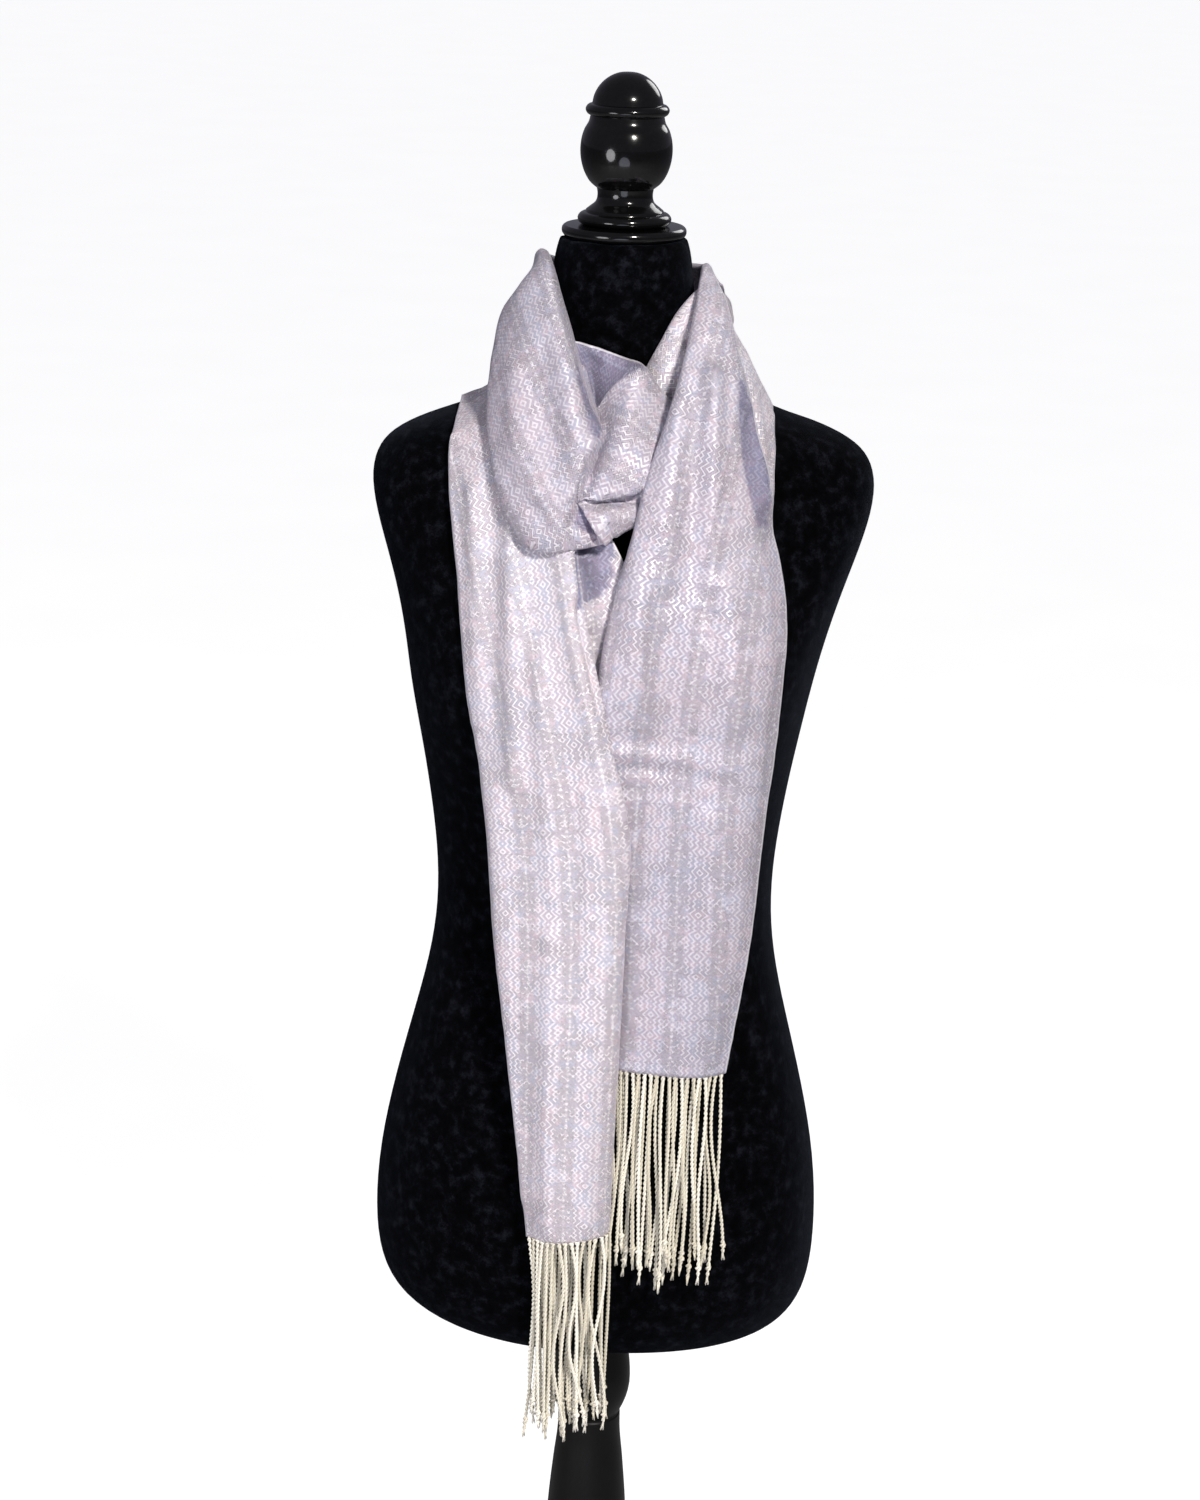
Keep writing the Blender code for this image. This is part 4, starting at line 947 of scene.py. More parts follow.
def diamond_twill_group():
    """Diamond twill: the mask of its white lines, of beads and accents, its painted thread shade and
    glints, and the cloth's height.
    """
    made = group("diamond_twill", (
        ("Vector", "NodeSocketVector", None), ("Repeat", "NodeSocketFloat", 0.036),
        ("Line Share", "NodeSocketFloat", 0.42), ("Thread", "NodeSocketFloat", 0.0007),
    ), (("Lines", "NodeSocketFloat"), ("Beads", "NodeSocketFloat"), ("Accents", "NodeSocketFloat"),
        ("Thread Shade And Glint", "NodeSocketFloat"), ("Height", "NodeSocketFloat")))
    b = Board(made)
    given = b.node("NodeGroupInput")
    vector, repeat, share, thread = given.outputs[:4]
    split = b.node("ShaderNodeSeparateXYZ", {0: vector})
    wobble = b.node("ShaderNodeTexNoise", {"Vector": vector, "Scale": 90.0, "Detail": 1.0})
    sway = b.math("MULTIPLY", b.math("SUBTRACT", wobble.outputs[0], 0.5), SWAY)
    climbs, places = [], []
    for axis in (0, 1):
        place = b.math("ADD", split.outputs[axis], sway)
        snapped = b.math("MULTIPLY", b.math("FLOOR", b.math("DIVIDE", place, thread)), thread)
        turn = b.math("FRACT", b.math("DIVIDE", snapped, repeat))
        climbs.append(b.ramp(turn, DRAFT_ALONG if axis else DRAFT))
        places.append((place, turn))
    climb = b.math("MULTIPLY_ADD", b.math("ADD", climbs[0], climbs[1]), 2.0, 0.5)
    phase = b.math("PINGPONG", climb, 0.5)
    uneven = b.node("ShaderNodeTexNoise", {"Vector": vector, "Scale": 320.0, "Detail": 1.0})
    width = b.math("MULTIPLY", share, b.math("MULTIPLY_ADD", uneven.outputs[0], 0.8, 0.12))
    narrow = b.math("GREATER_THAN", places[0][1], 0.5)
    width = b.math("MULTIPLY", width, b.math("MULTIPLY_ADD", narrow, -0.38, 1.0))
    lines = b.math("LESS_THAN", phase, width)
    soft = b.math("SUBTRACT", 1.0, b.math("MULTIPLY", phase, 2.0))
    # White beads run down the middle of the narrow columns.
    mid = b.math("ABSOLUTE", b.math("SUBTRACT", places[0][1], 0.75))
    dots = b.math("PINGPONG", b.math("DIVIDE", places[1][0], BEAD), 0.5)
    beads = b.math("LESS_THAN", b.math("ADD", b.math("MULTIPLY", mid, 9.0), dots), 0.42)
    # Dark marks edge some of the lines, most of all beside the beads.
    over = b.math("SUBTRACT", phase, width)
    beside = b.math("MULTIPLY", b.math("GREATER_THAN", over, 0.0), b.math("LESS_THAN", over, 0.13))
    patch = b.node("ShaderNodeTexNoise", {"Vector": vector, "Scale": 24.0, "Detail": 3.0,
                                          "Roughness": 0.7})
    near = b.math("MULTIPLY", b.math("LESS_THAN", mid, 0.20), 0.13)
    chosen = b.math("GREATER_THAN", b.math("ADD", patch.outputs[0], near), 0.54)
    accents = b.math("MULTIPLY", beside, chosen)
    bar = b.math("LESS_THAN", b.math("FRACT", b.math("DIVIDE", places[1][0], BAR)), 0.035)
    accents = b.math("MAXIMUM", accents, b.math("MULTIPLY", bar, 0.35))
    # Painted thread light: shade between the threads, of the warp in the ground and of the weft in the
    # lines, and a painted glint that differs from float to float.
    ribs, cells = [], []
    for axis in (0, 1):
        steps = b.math("DIVIDE", places[axis][0], thread)
        ribs.append(b.math("MULTIPLY", b.math("PINGPONG", steps, 0.5), 2.0))
        cells.append(b.math("FLOOR", steps))
    float_at = b.node("ShaderNodeCombineXYZ", {
        0: cells[0], 1: b.math("FLOOR", b.math("DIVIDE", cells[1], 3.0))}).outputs[0]
    glint = b.node("ShaderNodeTexWhiteNoise", {"Vector": float_at}, noise_dimensions="2D")
    ribbed = b.math("ADD", b.math("MULTIPLY", ribs[1], lines),
                    b.math("MULTIPLY", ribs[0], b.math("SUBTRACT", 1.0, lines)))
    thread_shade_and_glint = b.math("ADD", b.math("MULTIPLY", ribbed, 0.45),
                     b.math("MULTIPLY", glint.outputs["Value"], 0.55))
    height = b.math("ADD", b.math("MULTIPLY", soft, 0.6), b.math("MULTIPLY", ribbed, 0.3))
    height = b.math("ADD", height, b.math("MULTIPLY", beads, 0.4))
    result = b.node("NodeGroupOutput")
    for socket, value in zip(result.inputs, (lines, beads, accents, thread_shade_and_glint, height)):
        b.feed(socket, value)
    return made


def tint_group():
    """Slow drift and scattered cells between three colours of yarn."""
    made = group("dyed_yarn", (
        ("Vector", "NodeSocketVector", None), ("Base", "NodeSocketColor", (0.6, 0.58, 0.7, 1)),
        ("Pink", "NodeSocketColor", (0.8, 0.6, 0.62, 1)),
        ("Blue", "NodeSocketColor", (0.5, 0.6, 0.8, 1)),
    ), (("Colour", "NodeSocketColor"),))
    b = Board(made)
    given = b.node("NodeGroupInput")
    vector, base, pink, blue = given.outputs[:4]
    cells = b.node("ShaderNodeTexVoronoi", {"Vector": vector, "Scale": 200.0}, feature="F1")
    pick = b.node("ShaderNodeSeparateColor", {0: cells.outputs["Color"]})
    drift = b.node("ShaderNodeTexNoise", {"Vector": vector, "Scale": 11.0, "Detail": 2.0})
    lean = b.math("SUBTRACT", drift.outputs[0], 0.5)
    leaning, colour = b.math("MULTIPLY", lean, 0.9), base
    for operation, channel, limit, share, yarn in (
        ("ADD", 0, 0.80, 0.5, pink), ("SUBTRACT", 1, 0.74, 0.45, blue),
    ):
        picked = b.math(operation, pick.outputs[channel], leaning)
        picked = b.math("GREATER_THAN", picked, limit)
        colour = b.mix(b.math("MULTIPLY", picked, share), colour, yarn)
    for way, yarn in ((2.4, pink), (-2.4, blue)):
        slow = b.math("MULTIPLY", lean, way, clamp=True)
        colour = b.mix(b.math("MULTIPLY", slow, 0.35), colour, yarn)
    result = b.node("NodeGroupOutput")
    b.feed(result.inputs[0], colour)
    return made


def speckle_group():
    """Uneven nap: a level that changes over the surface at two scales, and its height."""
    made = group("nap", (("Vector", "NodeSocketVector", None), ("Scale", "NodeSocketFloat", 60.0)),
                 (("Level", "NodeSocketFloat"), ("Height", "NodeSocketFloat")))
    b = Board(made)
    given = b.node("NodeGroupInput")
    wide = b.node("ShaderNodeTexNoise", {"Vector": given.outputs[0], "Scale": given.outputs[1],
                                         "Detail": 4.0, "Roughness": 0.6})
    fine = b.node("ShaderNodeTexNoise", {"Vector": given.outputs[0], "Detail": 2.0,
                                         "Scale": b.math("MULTIPLY", given.outputs[1], 22.0)})
    level = b.math("ADD", b.math("MULTIPLY", wide.outputs[0], 0.6),
                   b.math("MULTIPLY", fine.outputs[0], 0.4))
    result = b.node("NodeGroupOutput")
    b.feed(result.inputs[0], level)
    b.feed(result.inputs[1], fine.outputs[0])
    return made


def shared(name, make):
    """A node group that is built once."""
    return bpy.data.node_groups.get(name) or make()


def attribute(b, name):
    """A point attribute's value."""
    return b.node("ShaderNodeAttribute", attribute_name=name).outputs["Fac"]


def object_place(b):
    """A point's place in the object's own coordinates."""
    return b.node("ShaderNodeTexCoord").outputs["Object"]


def finish_shader(b, shader, colour, roughness, strength, distance, height):
    """Feed a shader its colour, its roughness and a bump."""
    b.feed(shader.inputs["Base Color"], colour)
    b.feed(shader.inputs["Roughness"], roughness)
    bump = b.node("ShaderNodeBump", {"Strength": strength, "Distance": distance, "Height": height})
    b.feed(shader.inputs["Normal"], bump.outputs[0])


def new_material(name, **sockets):
    """A material with a Principled shader and its plain values set on its own sockets."""
    made = bpy.data.materials.new(name)
    made.use_nodes = True
    board = Board(made.node_tree)
    shader = made.node_tree.nodes["Principled BSDF"]
    for title, value in sockets.items():
        shader.inputs[title.replace("_", " ")].default_value = value
    return made, board, shader


def cloth_material(colours):
    """White on lavender diamond twill with pink and blue yarns, and a pale selvedge; painted shade between
    threads and painted glints on the floats, and the reverse colour, which also paints shade into the
    front's hollows and creases.
    """
    made, b, shader = new_material("diamond_twill_cloth", Sheen_Weight=0.2, Sheen_Roughness=0.45,
                                   Sheen_Tint=(0.9, 0.88, 1.0, 1.0), Specular_IOR_Level=0.6)
    weave = b.node("ShaderNodeUVMap", uv_map="weave").outputs[0]
    edges = b.node("ShaderNodeUVMap", uv_map="edges").outputs[0]
    twill = b.node("ShaderNodeGroup", {0: weave, **dict(WEAVE)},
                   node_tree=shared("diamond_twill", diamond_twill_group))
    dye = b.node("ShaderNodeGroup", {
        0: weave, "Base": (*colours.lavender, 1), "Pink": (*colours.pink, 1),
        "Blue": (*colours.blue, 1)}, node_tree=shared("dyed_yarn", tint_group))
    lines = twill.outputs["Lines"]
    white = b.mix(0.16, (*colours.white, 1), dye.outputs[0])
    colour = b.mix(lines, dye.outputs[0], white)
    colour = b.mix(b.math("MULTIPLY", twill.outputs["Beads"], 0.8), colour, (*colours.white, 1))
    colour = b.mix(b.math("MULTIPLY", twill.outputs["Accents"], 0.8), colour, (*colours.accent, 1))
    # Painted shade between the threads and painted glints on the floats darken and lighten the colour.
    shade = b.math("ADD", 0.80, b.math("MULTIPLY", twill.outputs["Thread Shade And Glint"], 0.34))
    colour = b.mix(1.0, colour, shade, "MULTIPLY")
    # The reverse colour darkens the cloth: on the inner face it is the cloth's reverse, on the front it is
    # painted shade in hollows and creases and an even darkening of the second run.
    reverse_and_shade_colour = b.mix(1.0, colour, (*colours.reverse, 1), "MULTIPLY")
    colour = b.mix(attribute(b, "reverse"), colour, reverse_and_shade_colour)
    split = b.node("ShaderNodeSeparateXYZ", {0: edges})
    nearest = b.math("MINIMUM", split.outputs[0], split.outputs[1])
    selvedge = b.math("LESS_THAN", nearest, SELVEDGE)
    colour = b.mix(b.math("MULTIPLY", selvedge, 0.6), colour, (*colours.selvedge, 1))
    b.feed(shader.inputs["Metallic"], b.math("MULTIPLY_ADD", lines, 0.14, 0.12))
    roughness = b.math("SUBTRACT", 0.56, b.math("MULTIPLY", lines, 0.14))
    finish_shader(b, shader, colour, roughness, 0.5, 0.0005, twill.outputs["Height"])
    return made


def fringe_material(colours):
    """Cream two-ply yarn, a little different from strand to strand."""
    made, b, shader = new_material("fringe_yarn", Sheen_Weight=0.2, Sheen_Roughness=0.5,
                                   Specular_IOR_Level=0.35)
    fibre = b.node("ShaderNodeTexNoise", {"Vector": object_place(b), "Scale": 1400.0,
                                          "Detail": 2.0}).outputs[0]
    colour = b.mix(attribute(b, "tone"), (*colours.fringe, 1), (*colours.fringe_pale, 1))
    level = b.math("ADD", 0.78, b.math("MULTIPLY", fibre, 0.40))
    roughness = b.math("ADD", 0.5, b.math("MULTIPLY", fibre, 0.3))
    finish_shader(b, shader, b.mix(1.0, colour, level, "MULTIPLY"), roughness, 0.35, 0.0002, fibre)
    return made


def velvet_material(colours):
    """Black velvet with an uneven nap, whose speckle of light is painted into the colour as painted sheen.
    """
    made, b, shader = new_material("velvet", Sheen_Weight=0.035, Sheen_Roughness=0.35,
                                   Sheen_Tint=(0.5, 0.6, 0.85, 1.0), Specular_IOR_Level=0.02)
    nap = b.node("ShaderNodeGroup", {0: object_place(b), 1: 110.0},
                 node_tree=shared("nap", speckle_group))
    # Painted sheen: the nap's speckle lightens the black up to ninefold.
    level = b.ramp(nap.outputs[0], ((0.42, 0.4), (0.53, 1.4), (0.64, 9.0)))
    colour = b.mix(1.0, (*colours.velvet, 1), level, "MULTIPLY")
    roughness = b.math("ADD", 0.8, b.math("MULTIPLY", nap.outputs[0], 0.2))
    finish_shader(b, shader, colour, roughness, 0.6, 0.0008, nap.outputs[1])
    return made


def lacquer_material(name, colour, coat, roughness):
    """Black lacquer on turned wood, with faint turning marks and dust."""
    made, b, shader = new_material(name, Coat_Roughness=0.03, Specular_IOR_Level=0.16)
    place = object_place(b)
    nap = b.node("ShaderNodeGroup", {0: place, 1: 18.0},
                 node_tree=shared("nap", speckle_group)).outputs[0]
    height = b.node("ShaderNodeSeparateXYZ", {0: place}).outputs[2]
    rings = b.node("ShaderNodeTexNoise", {
        "Vector": b.node("ShaderNodeCombineXYZ", {2: height}).outputs[0],
        "Scale": 900.0, "Detail": 1.0})
    level = b.math("ADD", 0.6, b.math("MULTIPLY", nap, 0.8))
    b.feed(shader.inputs["Coat Weight"], b.math("MULTIPLY", nap, coat))
    finish_shader(b, shader, b.mix(1.0, (*colour, 1), level, "MULTIPLY"),
                  b.math("ADD", roughness, b.math("MULTIPLY", nap, 0.10)),
                  0.08, 0.0002, rings.outputs[0])
    return made


# ---------------------------------------------------------------------------------- settings

class ScarfSizes(bpy.types.PropertyGroup):
    """Sizes of the cloth and its fringe."""

    cloth_thickness: FloatProperty(name="Cloth", description="Thickness of the woven cloth",
                                   default=0.0009, min=0.0004, max=0.002, unit="LENGTH", precision=4)
    crease_depth: FloatProperty(name="Crease depth", description="Depth of the folds, as a share",
                                default=1.0, min=0.0, max=1.5, subtype="FACTOR")
    mesh_step: FloatProperty(name="Mesh step", description="Distance between the cloth's mesh points",
                             default=0.0028, min=0.0020, max=0.01, unit="LENGTH", precision=4)
    strands: IntProperty(name="Strands", description="Strands of fringe on each end",
                         default=38, min=10, max=60)
    strand_length: FloatProperty(name="Fringe", description="Length of the fringe", default=0.150,
                                 min=0.05, max=0.2, unit="LENGTH", precision=3)
    ply_radius: FloatProperty(name="Ply", description="Radius of one of the two plies of a strand",
                              default=0.00074, min=0.0003, max=0.001, unit="LENGTH", precision=5)
    twist: FloatProperty(name="Twist", description="Length of one full turn of the plies", default=0.0075,
                         min=0.003, max=0.02, unit="LENGTH", precision=4)


def colour_property(name, description, default):
    """A colour setting."""
    return FloatVectorProperty(name=name, description=description, default=default, size=3,
                               min=0.0, max=1.0, subtype="COLOR")


class ScarfColours(bpy.types.PropertyGroup):
    """Colours of the yarns, the velvet and the lacquer."""

    lavender: colour_property("Lavender", "Ground yarn", (0.56, 0.505, 0.575))
    white: colour_property("White", "Pattern yarn", (0.95, 0.91, 0.93))
    pink: colour_property("Pink", "Scattered pink yarn", (0.76, 0.60, 0.65))
    blue: colour_property("Blue", "Scattered blue yarn", (0.52, 0.56, 0.70))
    # Accent: the colour of the dark marks beside some of the lines, and of the dark cross threads.
    accent: colour_property("Accent", "Dark thread beside the lines", (0.17, 0.15, 0.17))
    # Reverse colour, also used as painted shade in the front's hollows and creases.
    reverse: colour_property("Reverse", "What the reverse keeps of the colours", (0.38, 0.39, 0.50))
    selvedge: colour_property("Selvedge", "Edge thread", (0.90, 0.88, 0.92))
    fringe: colour_property("Fringe", "Fringe yarn", (0.64, 0.59, 0.46))
    fringe_pale: colour_property("Pale fringe", "Palest fringe yarn", (0.90, 0.87, 0.77))
    velvet: colour_property("Velvet", "Form cover", (0.0010, 0.0011, 0.0016))
    lacquer: colour_property("Lacquer", "Cap, column and foot", (0.0025, 0.0025, 0.0026))


class PieceOperator:
    """What the operators of this file share: their settings, and how a run is finished."""

    bl_options = {"REGISTER", "UNDO"}

    @property
    def sizes(self):
        return bpy.context.scene.scarf_sizes

    @property
    def colours(self):
        return bpy.context.scene.scarf_colours

    def finish_run(self, piece, parts):
        """Give a run of the scarf its cloth and the solids that it stands for."""
        cloth = bpy.data.materials.get("diamond_twill_cloth") or cloth_material(self.colours)
        finish_piece(piece, cloth, [name for name, _, _ in parts])


# ------------------------------------------------------------------------------------ pieces

HEMS = {}                  # the two hems: their points and the ways that they face
FIRST_FOLD, SECOND_FOLD = 9, 8         # the column of points along each run's fold
FIRST_SEED, SECOND_SEED = 0.0, 1.1     # where each run starts in the weave
SECOND_RUN_DARKENING = 0.36       # how far the reverse colour darkens the whole outer face of the second run


class SCARF_OT_first_run(PieceOperator, bpy.types.Operator):
    """Weave the left tail, the inner turn behind the neck and the right shoulder band"""

    bl_idname = "scarf.first_run"
    bl_label = "First Run"

    def execute(self, context):
        tables = (FIRST_RUN_CREASES, FIRST_TURN_CREASES, FIRST_RUN_STEPS_DOWN,
                  (0.0, FIRST_RUN_PAINTED_SHADE))
        grid, normals, piece = cloth_sheet(
            "scarf_first_run", first_run_sections(), FIRST_RUN_STEPS, FIRST_RUN_PARTS,
            FIRST_FOLD, 1, tables, FIRST_SEED, [], self.sizes)
        HEMS["left"] = (grid[0], normals[0])
        self.finish_run(piece, FIRST_RUN_PARTS)
        return {"FINISHED"}


class SCARF_OT_second_run(PieceOperator, bpy.types.Operator):
    """Weave the front loop, the outer turn behind the neck and the right tail"""

    bl_idname = "scarf.second_run"
    bl_label = "Second Run"

    def execute(self, context):
        tables = (SECOND_RUN_CREASES, SECOND_TURN_CREASES, SECOND_RUN_STEPS_DOWN,
                  (SECOND_RUN_DARKENING, SECOND_RUN_PAINTED_SHADE))
        grid, normals, piece = cloth_sheet(
            "scarf_second_run", second_run_sections(), SECOND_RUN_STEPS, SECOND_RUN_PARTS,
            SECOND_FOLD, -1, tables, SECOND_SEED, ["scarf_first_run"], self.sizes)
        HEMS["right"] = (grid[-1], normals[-1])
        self.finish_run(piece, SECOND_RUN_PARTS)
        return {"FINISHED"}


PLY_SIDES = 5
PLY_APART = 0.92           # from a strand's middle to each ply's, in radii of the ply
TWIST_STEPS = 8            # to a turn
TUFT_ENDS = 8              # frayed ends under a strand's knot
TUFT_AROUND = 0.0006       # how far from the strand's middle they start
KNOT_AT = 0.955            # where the knot sits, as a share of the strand
KNOT_HALF = 0.0017         # half the knot's length
ROOT_HALF = 0.003          # length over which the root spreads into the hem
ROOT_RISE = 0.0006         # how far a strand starts inside the hem
HEM_MARGIN = 0.0015        # from the cloth's edge to the first strand
UNEVEN_LENGTH = 0.03       # spread of the strands' lengths
UNEVEN_STRETCH = 0.05      # and of how far each is stretched
DRIFT, CURL = 0.0042, 0.0022           # spread of how far they stray and curl along the hem
SWING, WAVE = 0.0016, 0.0009           # and how far they do away from the form
STRAND_SEED = 1000
FRINGE_SEEDS = {"left": (7, 0), "right": (11, 100)}    # a fringe's seed, and its first strand's


def model_strand(sizes):
    """One twisted strand, hanging from the origin, with a frayed tuft at its end."""
    deselect()
    turns = round(sizes.strand_length / sizes.twist)
    place = sizes.ply_radius * PLY_APART
    bpy.ops.mesh.primitive_circle_add(vertices=PLY_SIDES, radius=sizes.ply_radius,
                                      location=(place, 0, 0))
    strand = bpy.context.object
    bpy.ops.object.mode_set(mode="EDIT")
    bpy.ops.mesh.primitive_circle_add(vertices=PLY_SIDES, radius=sizes.ply_radius,
                                      location=(-place, 0, 0))
    bpy.ops.object.mode_set(mode="OBJECT")
    bpy.ops.object.transform_apply(location=True, rotation=True, scale=True)
    screw = strand.modifiers.new("twist", "SCREW")
    screw.axis, screw.angle, screw.screw_offset = "Z", 2 * pi, -sizes.strand_length / turns
    screw.iterations, screw.steps, screw.render_steps = turns, TWIST_STEPS, TWIST_STEPS
    screw.use_merge_vertices = False
    apply_modifiers(strand)
    edit_all()
    bpy.ops.mesh.fill_holes(sides=0)
    for number in range(TUFT_ENDS):
        bpy.ops.mesh.select_all(action="DESELECT")
        way, lean = number * 2.4, radians(4 + 5 * (number % 3))
        size = 0.0052 + 0.0006 * (number % 4)
        bpy.ops.mesh.primitive_cone_add(
            vertices=4, radius1=0.00045, radius2=0.00038, depth=size,
            location=(TUFT_AROUND * cos(way), TUFT_AROUND * sin(way),
                      -sizes.strand_length - size * 0.46),
            rotation=(pi + lean * sin(way), lean * cos(way), 0))
    bpy.ops.mesh.select_all(action="SELECT")
    bpy.ops.mesh.normals_make_consistent(inside=False)
    bpy.ops.object.mode_set(mode="OBJECT")
    return strand


def hang(points, number, root, tangent, normal, length, sizes):
    """A strand's points, laid along its own way down from its root.

    Each strand has its own stretch, turn, drift and curl; tangent runs along the hem and
    normal away from the form.
    """
    rng = np.random.default_rng(STRAND_SEED + number)
    stretch = (1 + UNEVEN_STRETCH * rng.standard_normal()) * length / sizes.strand_length
    down = -points[:, 2] * stretch
    part = np.clip(down / length, 0, 1.1)
    spin = rng.uniform(0, 2 * pi)
    across = points[:, 0] * cos(spin) - points[:, 1] * sin(spin)
    deep = points[:, 0] * sin(spin) + points[:, 1] * cos(spin)
    knot = 1 + np.exp(-((down - KNOT_AT * sizes.strand_length * stretch) / KNOT_HALF) ** 2)
    root_flare = 1 + 0.5 * np.exp(-(down / ROOT_HALF) ** 2)
    drift, curl, waves = rng.normal(0, DRIFT), rng.normal(0, CURL), rng.uniform(0.5, 1.3)
    side = drift * part ** 1.5 + curl * np.sin(2 * pi * waves * part)
    out = SWING * rng.standard_normal() * part
    out = out + WAVE * np.sin(2 * pi * rng.uniform(0.4, 1.1) * part + 1)
    placed = root + np.outer(side + across * knot * root_flare, tangent)
    placed = placed + np.outer(out + deep * knot, normal)
    placed[:, 2] -= down
    return placed


class SCARF_OT_fringes(PieceOperator, bpy.types.Operator):
    """Twist the strands of both fringes and hang them from the hems"""

    bl_idname = "scarf.fringes"
    bl_label = "Fringes"

    def execute(self, context):
        if set(HEMS) != {"left", "right"}:
            raise RuntimeError("weave both runs before their fringes")
        sizes = self.sizes
        strand = model_strand(sizes)
        source = strand.data
        points = np.array([vert.co for vert in source.vertices])
        faces = [list(face.vertices) for face in source.polygons]
        finish = fringe_material(self.colours)
        for side, (hem, normals) in HEMS.items():
            seed, first_strand = FRINGE_SEEDS[side]
            knots = chord_knots(hem)
            places = (np.arange(sizes.strands) + 0.5) / sizes.strands
            places = places * (knots[-1] - 2 * HEM_MARGIN) + HEM_MARGIN
            roots = along_curve(hem, places)
            facing = np.array([np.interp(places, knots, normals[:, axis]) for axis in range(3)]).T
            all_points, all_faces, tones = [], [], []
            rng = np.random.default_rng(seed)
            for number, (root, normal) in enumerate(zip(roots, facing)):
                normal = np.array((normal[0], normal[1], 0.0))
                normal /= np.linalg.norm(normal)
                tangent = np.array((-normal[1], normal[0], 0.0))
                uneven = 1 + 0.035 * sin(1.7 * number) + UNEVEN_LENGTH * rng.standard_normal()
                placed = hang(points, number + first_strand, root + (0, 0, ROOT_RISE),
                              tangent, normal, sizes.strand_length * uneven, sizes)
                first = len(all_points) * len(points)
                all_faces += [[index + first for index in face] for face in faces]
                all_points.append(placed)
                tones += [float(rng.uniform(0.1, 1.0))] * len(points)
            mesh = bpy.data.meshes.new(f"{side}_strands")
            mesh.from_pydata(np.vstack(all_points).tolist(), [], all_faces)
            mesh.attributes.new("tone", "FLOAT", "POINT").data.foreach_set("value", tones)
            mesh.shade_smooth()
            piece = bpy.data.objects.new(f"{side}_strands", mesh)
            context.scene.collection.objects.link(piece)
            finish_piece(piece, finish, [f"{side}_fringe"])
        bpy.data.objects.remove(strand, do_unlink=True)
        return {"FINISHED"}


class SCARF_OT_form(PieceOperator, bpy.types.Operator):
    """Cover the form in black velvet"""

    bl_idname = "scarf.form"
    bl_label = "Velvet Form"

    def execute(self, context):
        deselect()
        piece = NODES["form_torso"].copy()
        piece.data = NODES["form_torso"].data.copy()
        piece.name = piece.data.name = "velvet_form"
        for key in list(piece.keys()):
            del piece[key]
        piece.parent = None
        context.scene.collection.objects.link(piece)
        make_active(piece)
        edit_all()
        bpy.ops.mesh.remove_doubles(threshold=1e-5)
        bpy.ops.mesh.tris_convert_to_quads()
        bpy.ops.object.mode_set(mode="OBJECT")
        rounded = piece.modifiers.new("rounded", "SUBSURF")
        rounded.levels = rounded.render_levels = 2
        apply_modifiers(piece)
        bpy.ops.object.shade_smooth()
        finish_piece(piece, velvet_material(self.colours), ["form_torso"])
        return {"FINISHED"}


# Turned profiles from the top down, as height and radius, with 1 where the line turns sharply.
CAP_PROFILE = (
    (1.5230, 0.0000, 0), (1.5222, 0.0070, 0), (1.5190, 0.0140, 0), (1.5135, 0.0200, 0), (1.5060, 0.0240, 0),
    (1.5010, 0.0250, 1), (1.5002, 0.0276, 0), (1.4970, 0.0296, 0), (1.4937, 0.0280, 0), (1.4927, 0.0260, 1),
    (1.4885, 0.0270, 0), (1.4830, 0.0300, 0), (1.4760, 0.0320, 0), (1.4690, 0.0326, 0), (1.4600, 0.0316, 0),
    (1.4520, 0.0288, 0), (1.4460, 0.0248, 0), (1.4430, 0.0212, 1), (1.4424, 0.0202, 1), (1.4380, 0.0196, 0),
    (1.4330, 0.0206, 0), (1.4290, 0.0250, 0), (1.4270, 0.0275, 1), (1.4256, 0.0280, 1), (1.4246, 0.0312, 0),
    (1.4215, 0.0333, 0), (1.4184, 0.0325, 0), (1.4166, 0.0300, 1), (1.4161, 0.0424, 1), (1.4148, 0.0439, 0),
    (1.4127, 0.0444, 0), (1.4106, 0.0440, 0), (1.4088, 0.0425, 1), (1.4083, 0.0400, 1), (1.4083, 0.0000, 1),
)
COLUMN_PROFILE = (
    (0.5667, 0.0000, 1), (0.5667, 0.0290, 1), (0.5657, 0.0300, 1), (0.5608, 0.0300, 1), (0.5592, 0.0284, 1),
    (0.5480, 0.0278, 0), (0.5300, 0.0295, 0), (0.5120, 0.0315, 0), (0.4980, 0.0315, 0), (0.4850, 0.0285, 0),
    (0.4760, 0.0246, 1), (0.4748, 0.0238, 1), (0.4732, 0.0238, 1), (0.4720, 0.0246, 1), (0.4600, 0.0248, 0),
    (0.4300, 0.0278, 0), (0.3900, 0.0312, 0), (0.3400, 0.0325, 0), (0.2800, 0.0305, 0), (0.2000, 0.0260, 0),
    (0.1200, 0.0225, 0), (0.0780, 0.0225, 1), (0.0766, 0.0236, 1), (0.0736, 0.0236, 1), (0.0722, 0.0225, 1),
    (0.0600, 0.0258, 0), (0.0450, 0.0340, 0), (0.0320, 0.0390, 0), (0.0250, 0.0400, 1), (0.0223, 0.0400, 1),
    (0.0223, 0.0000, 1),
)
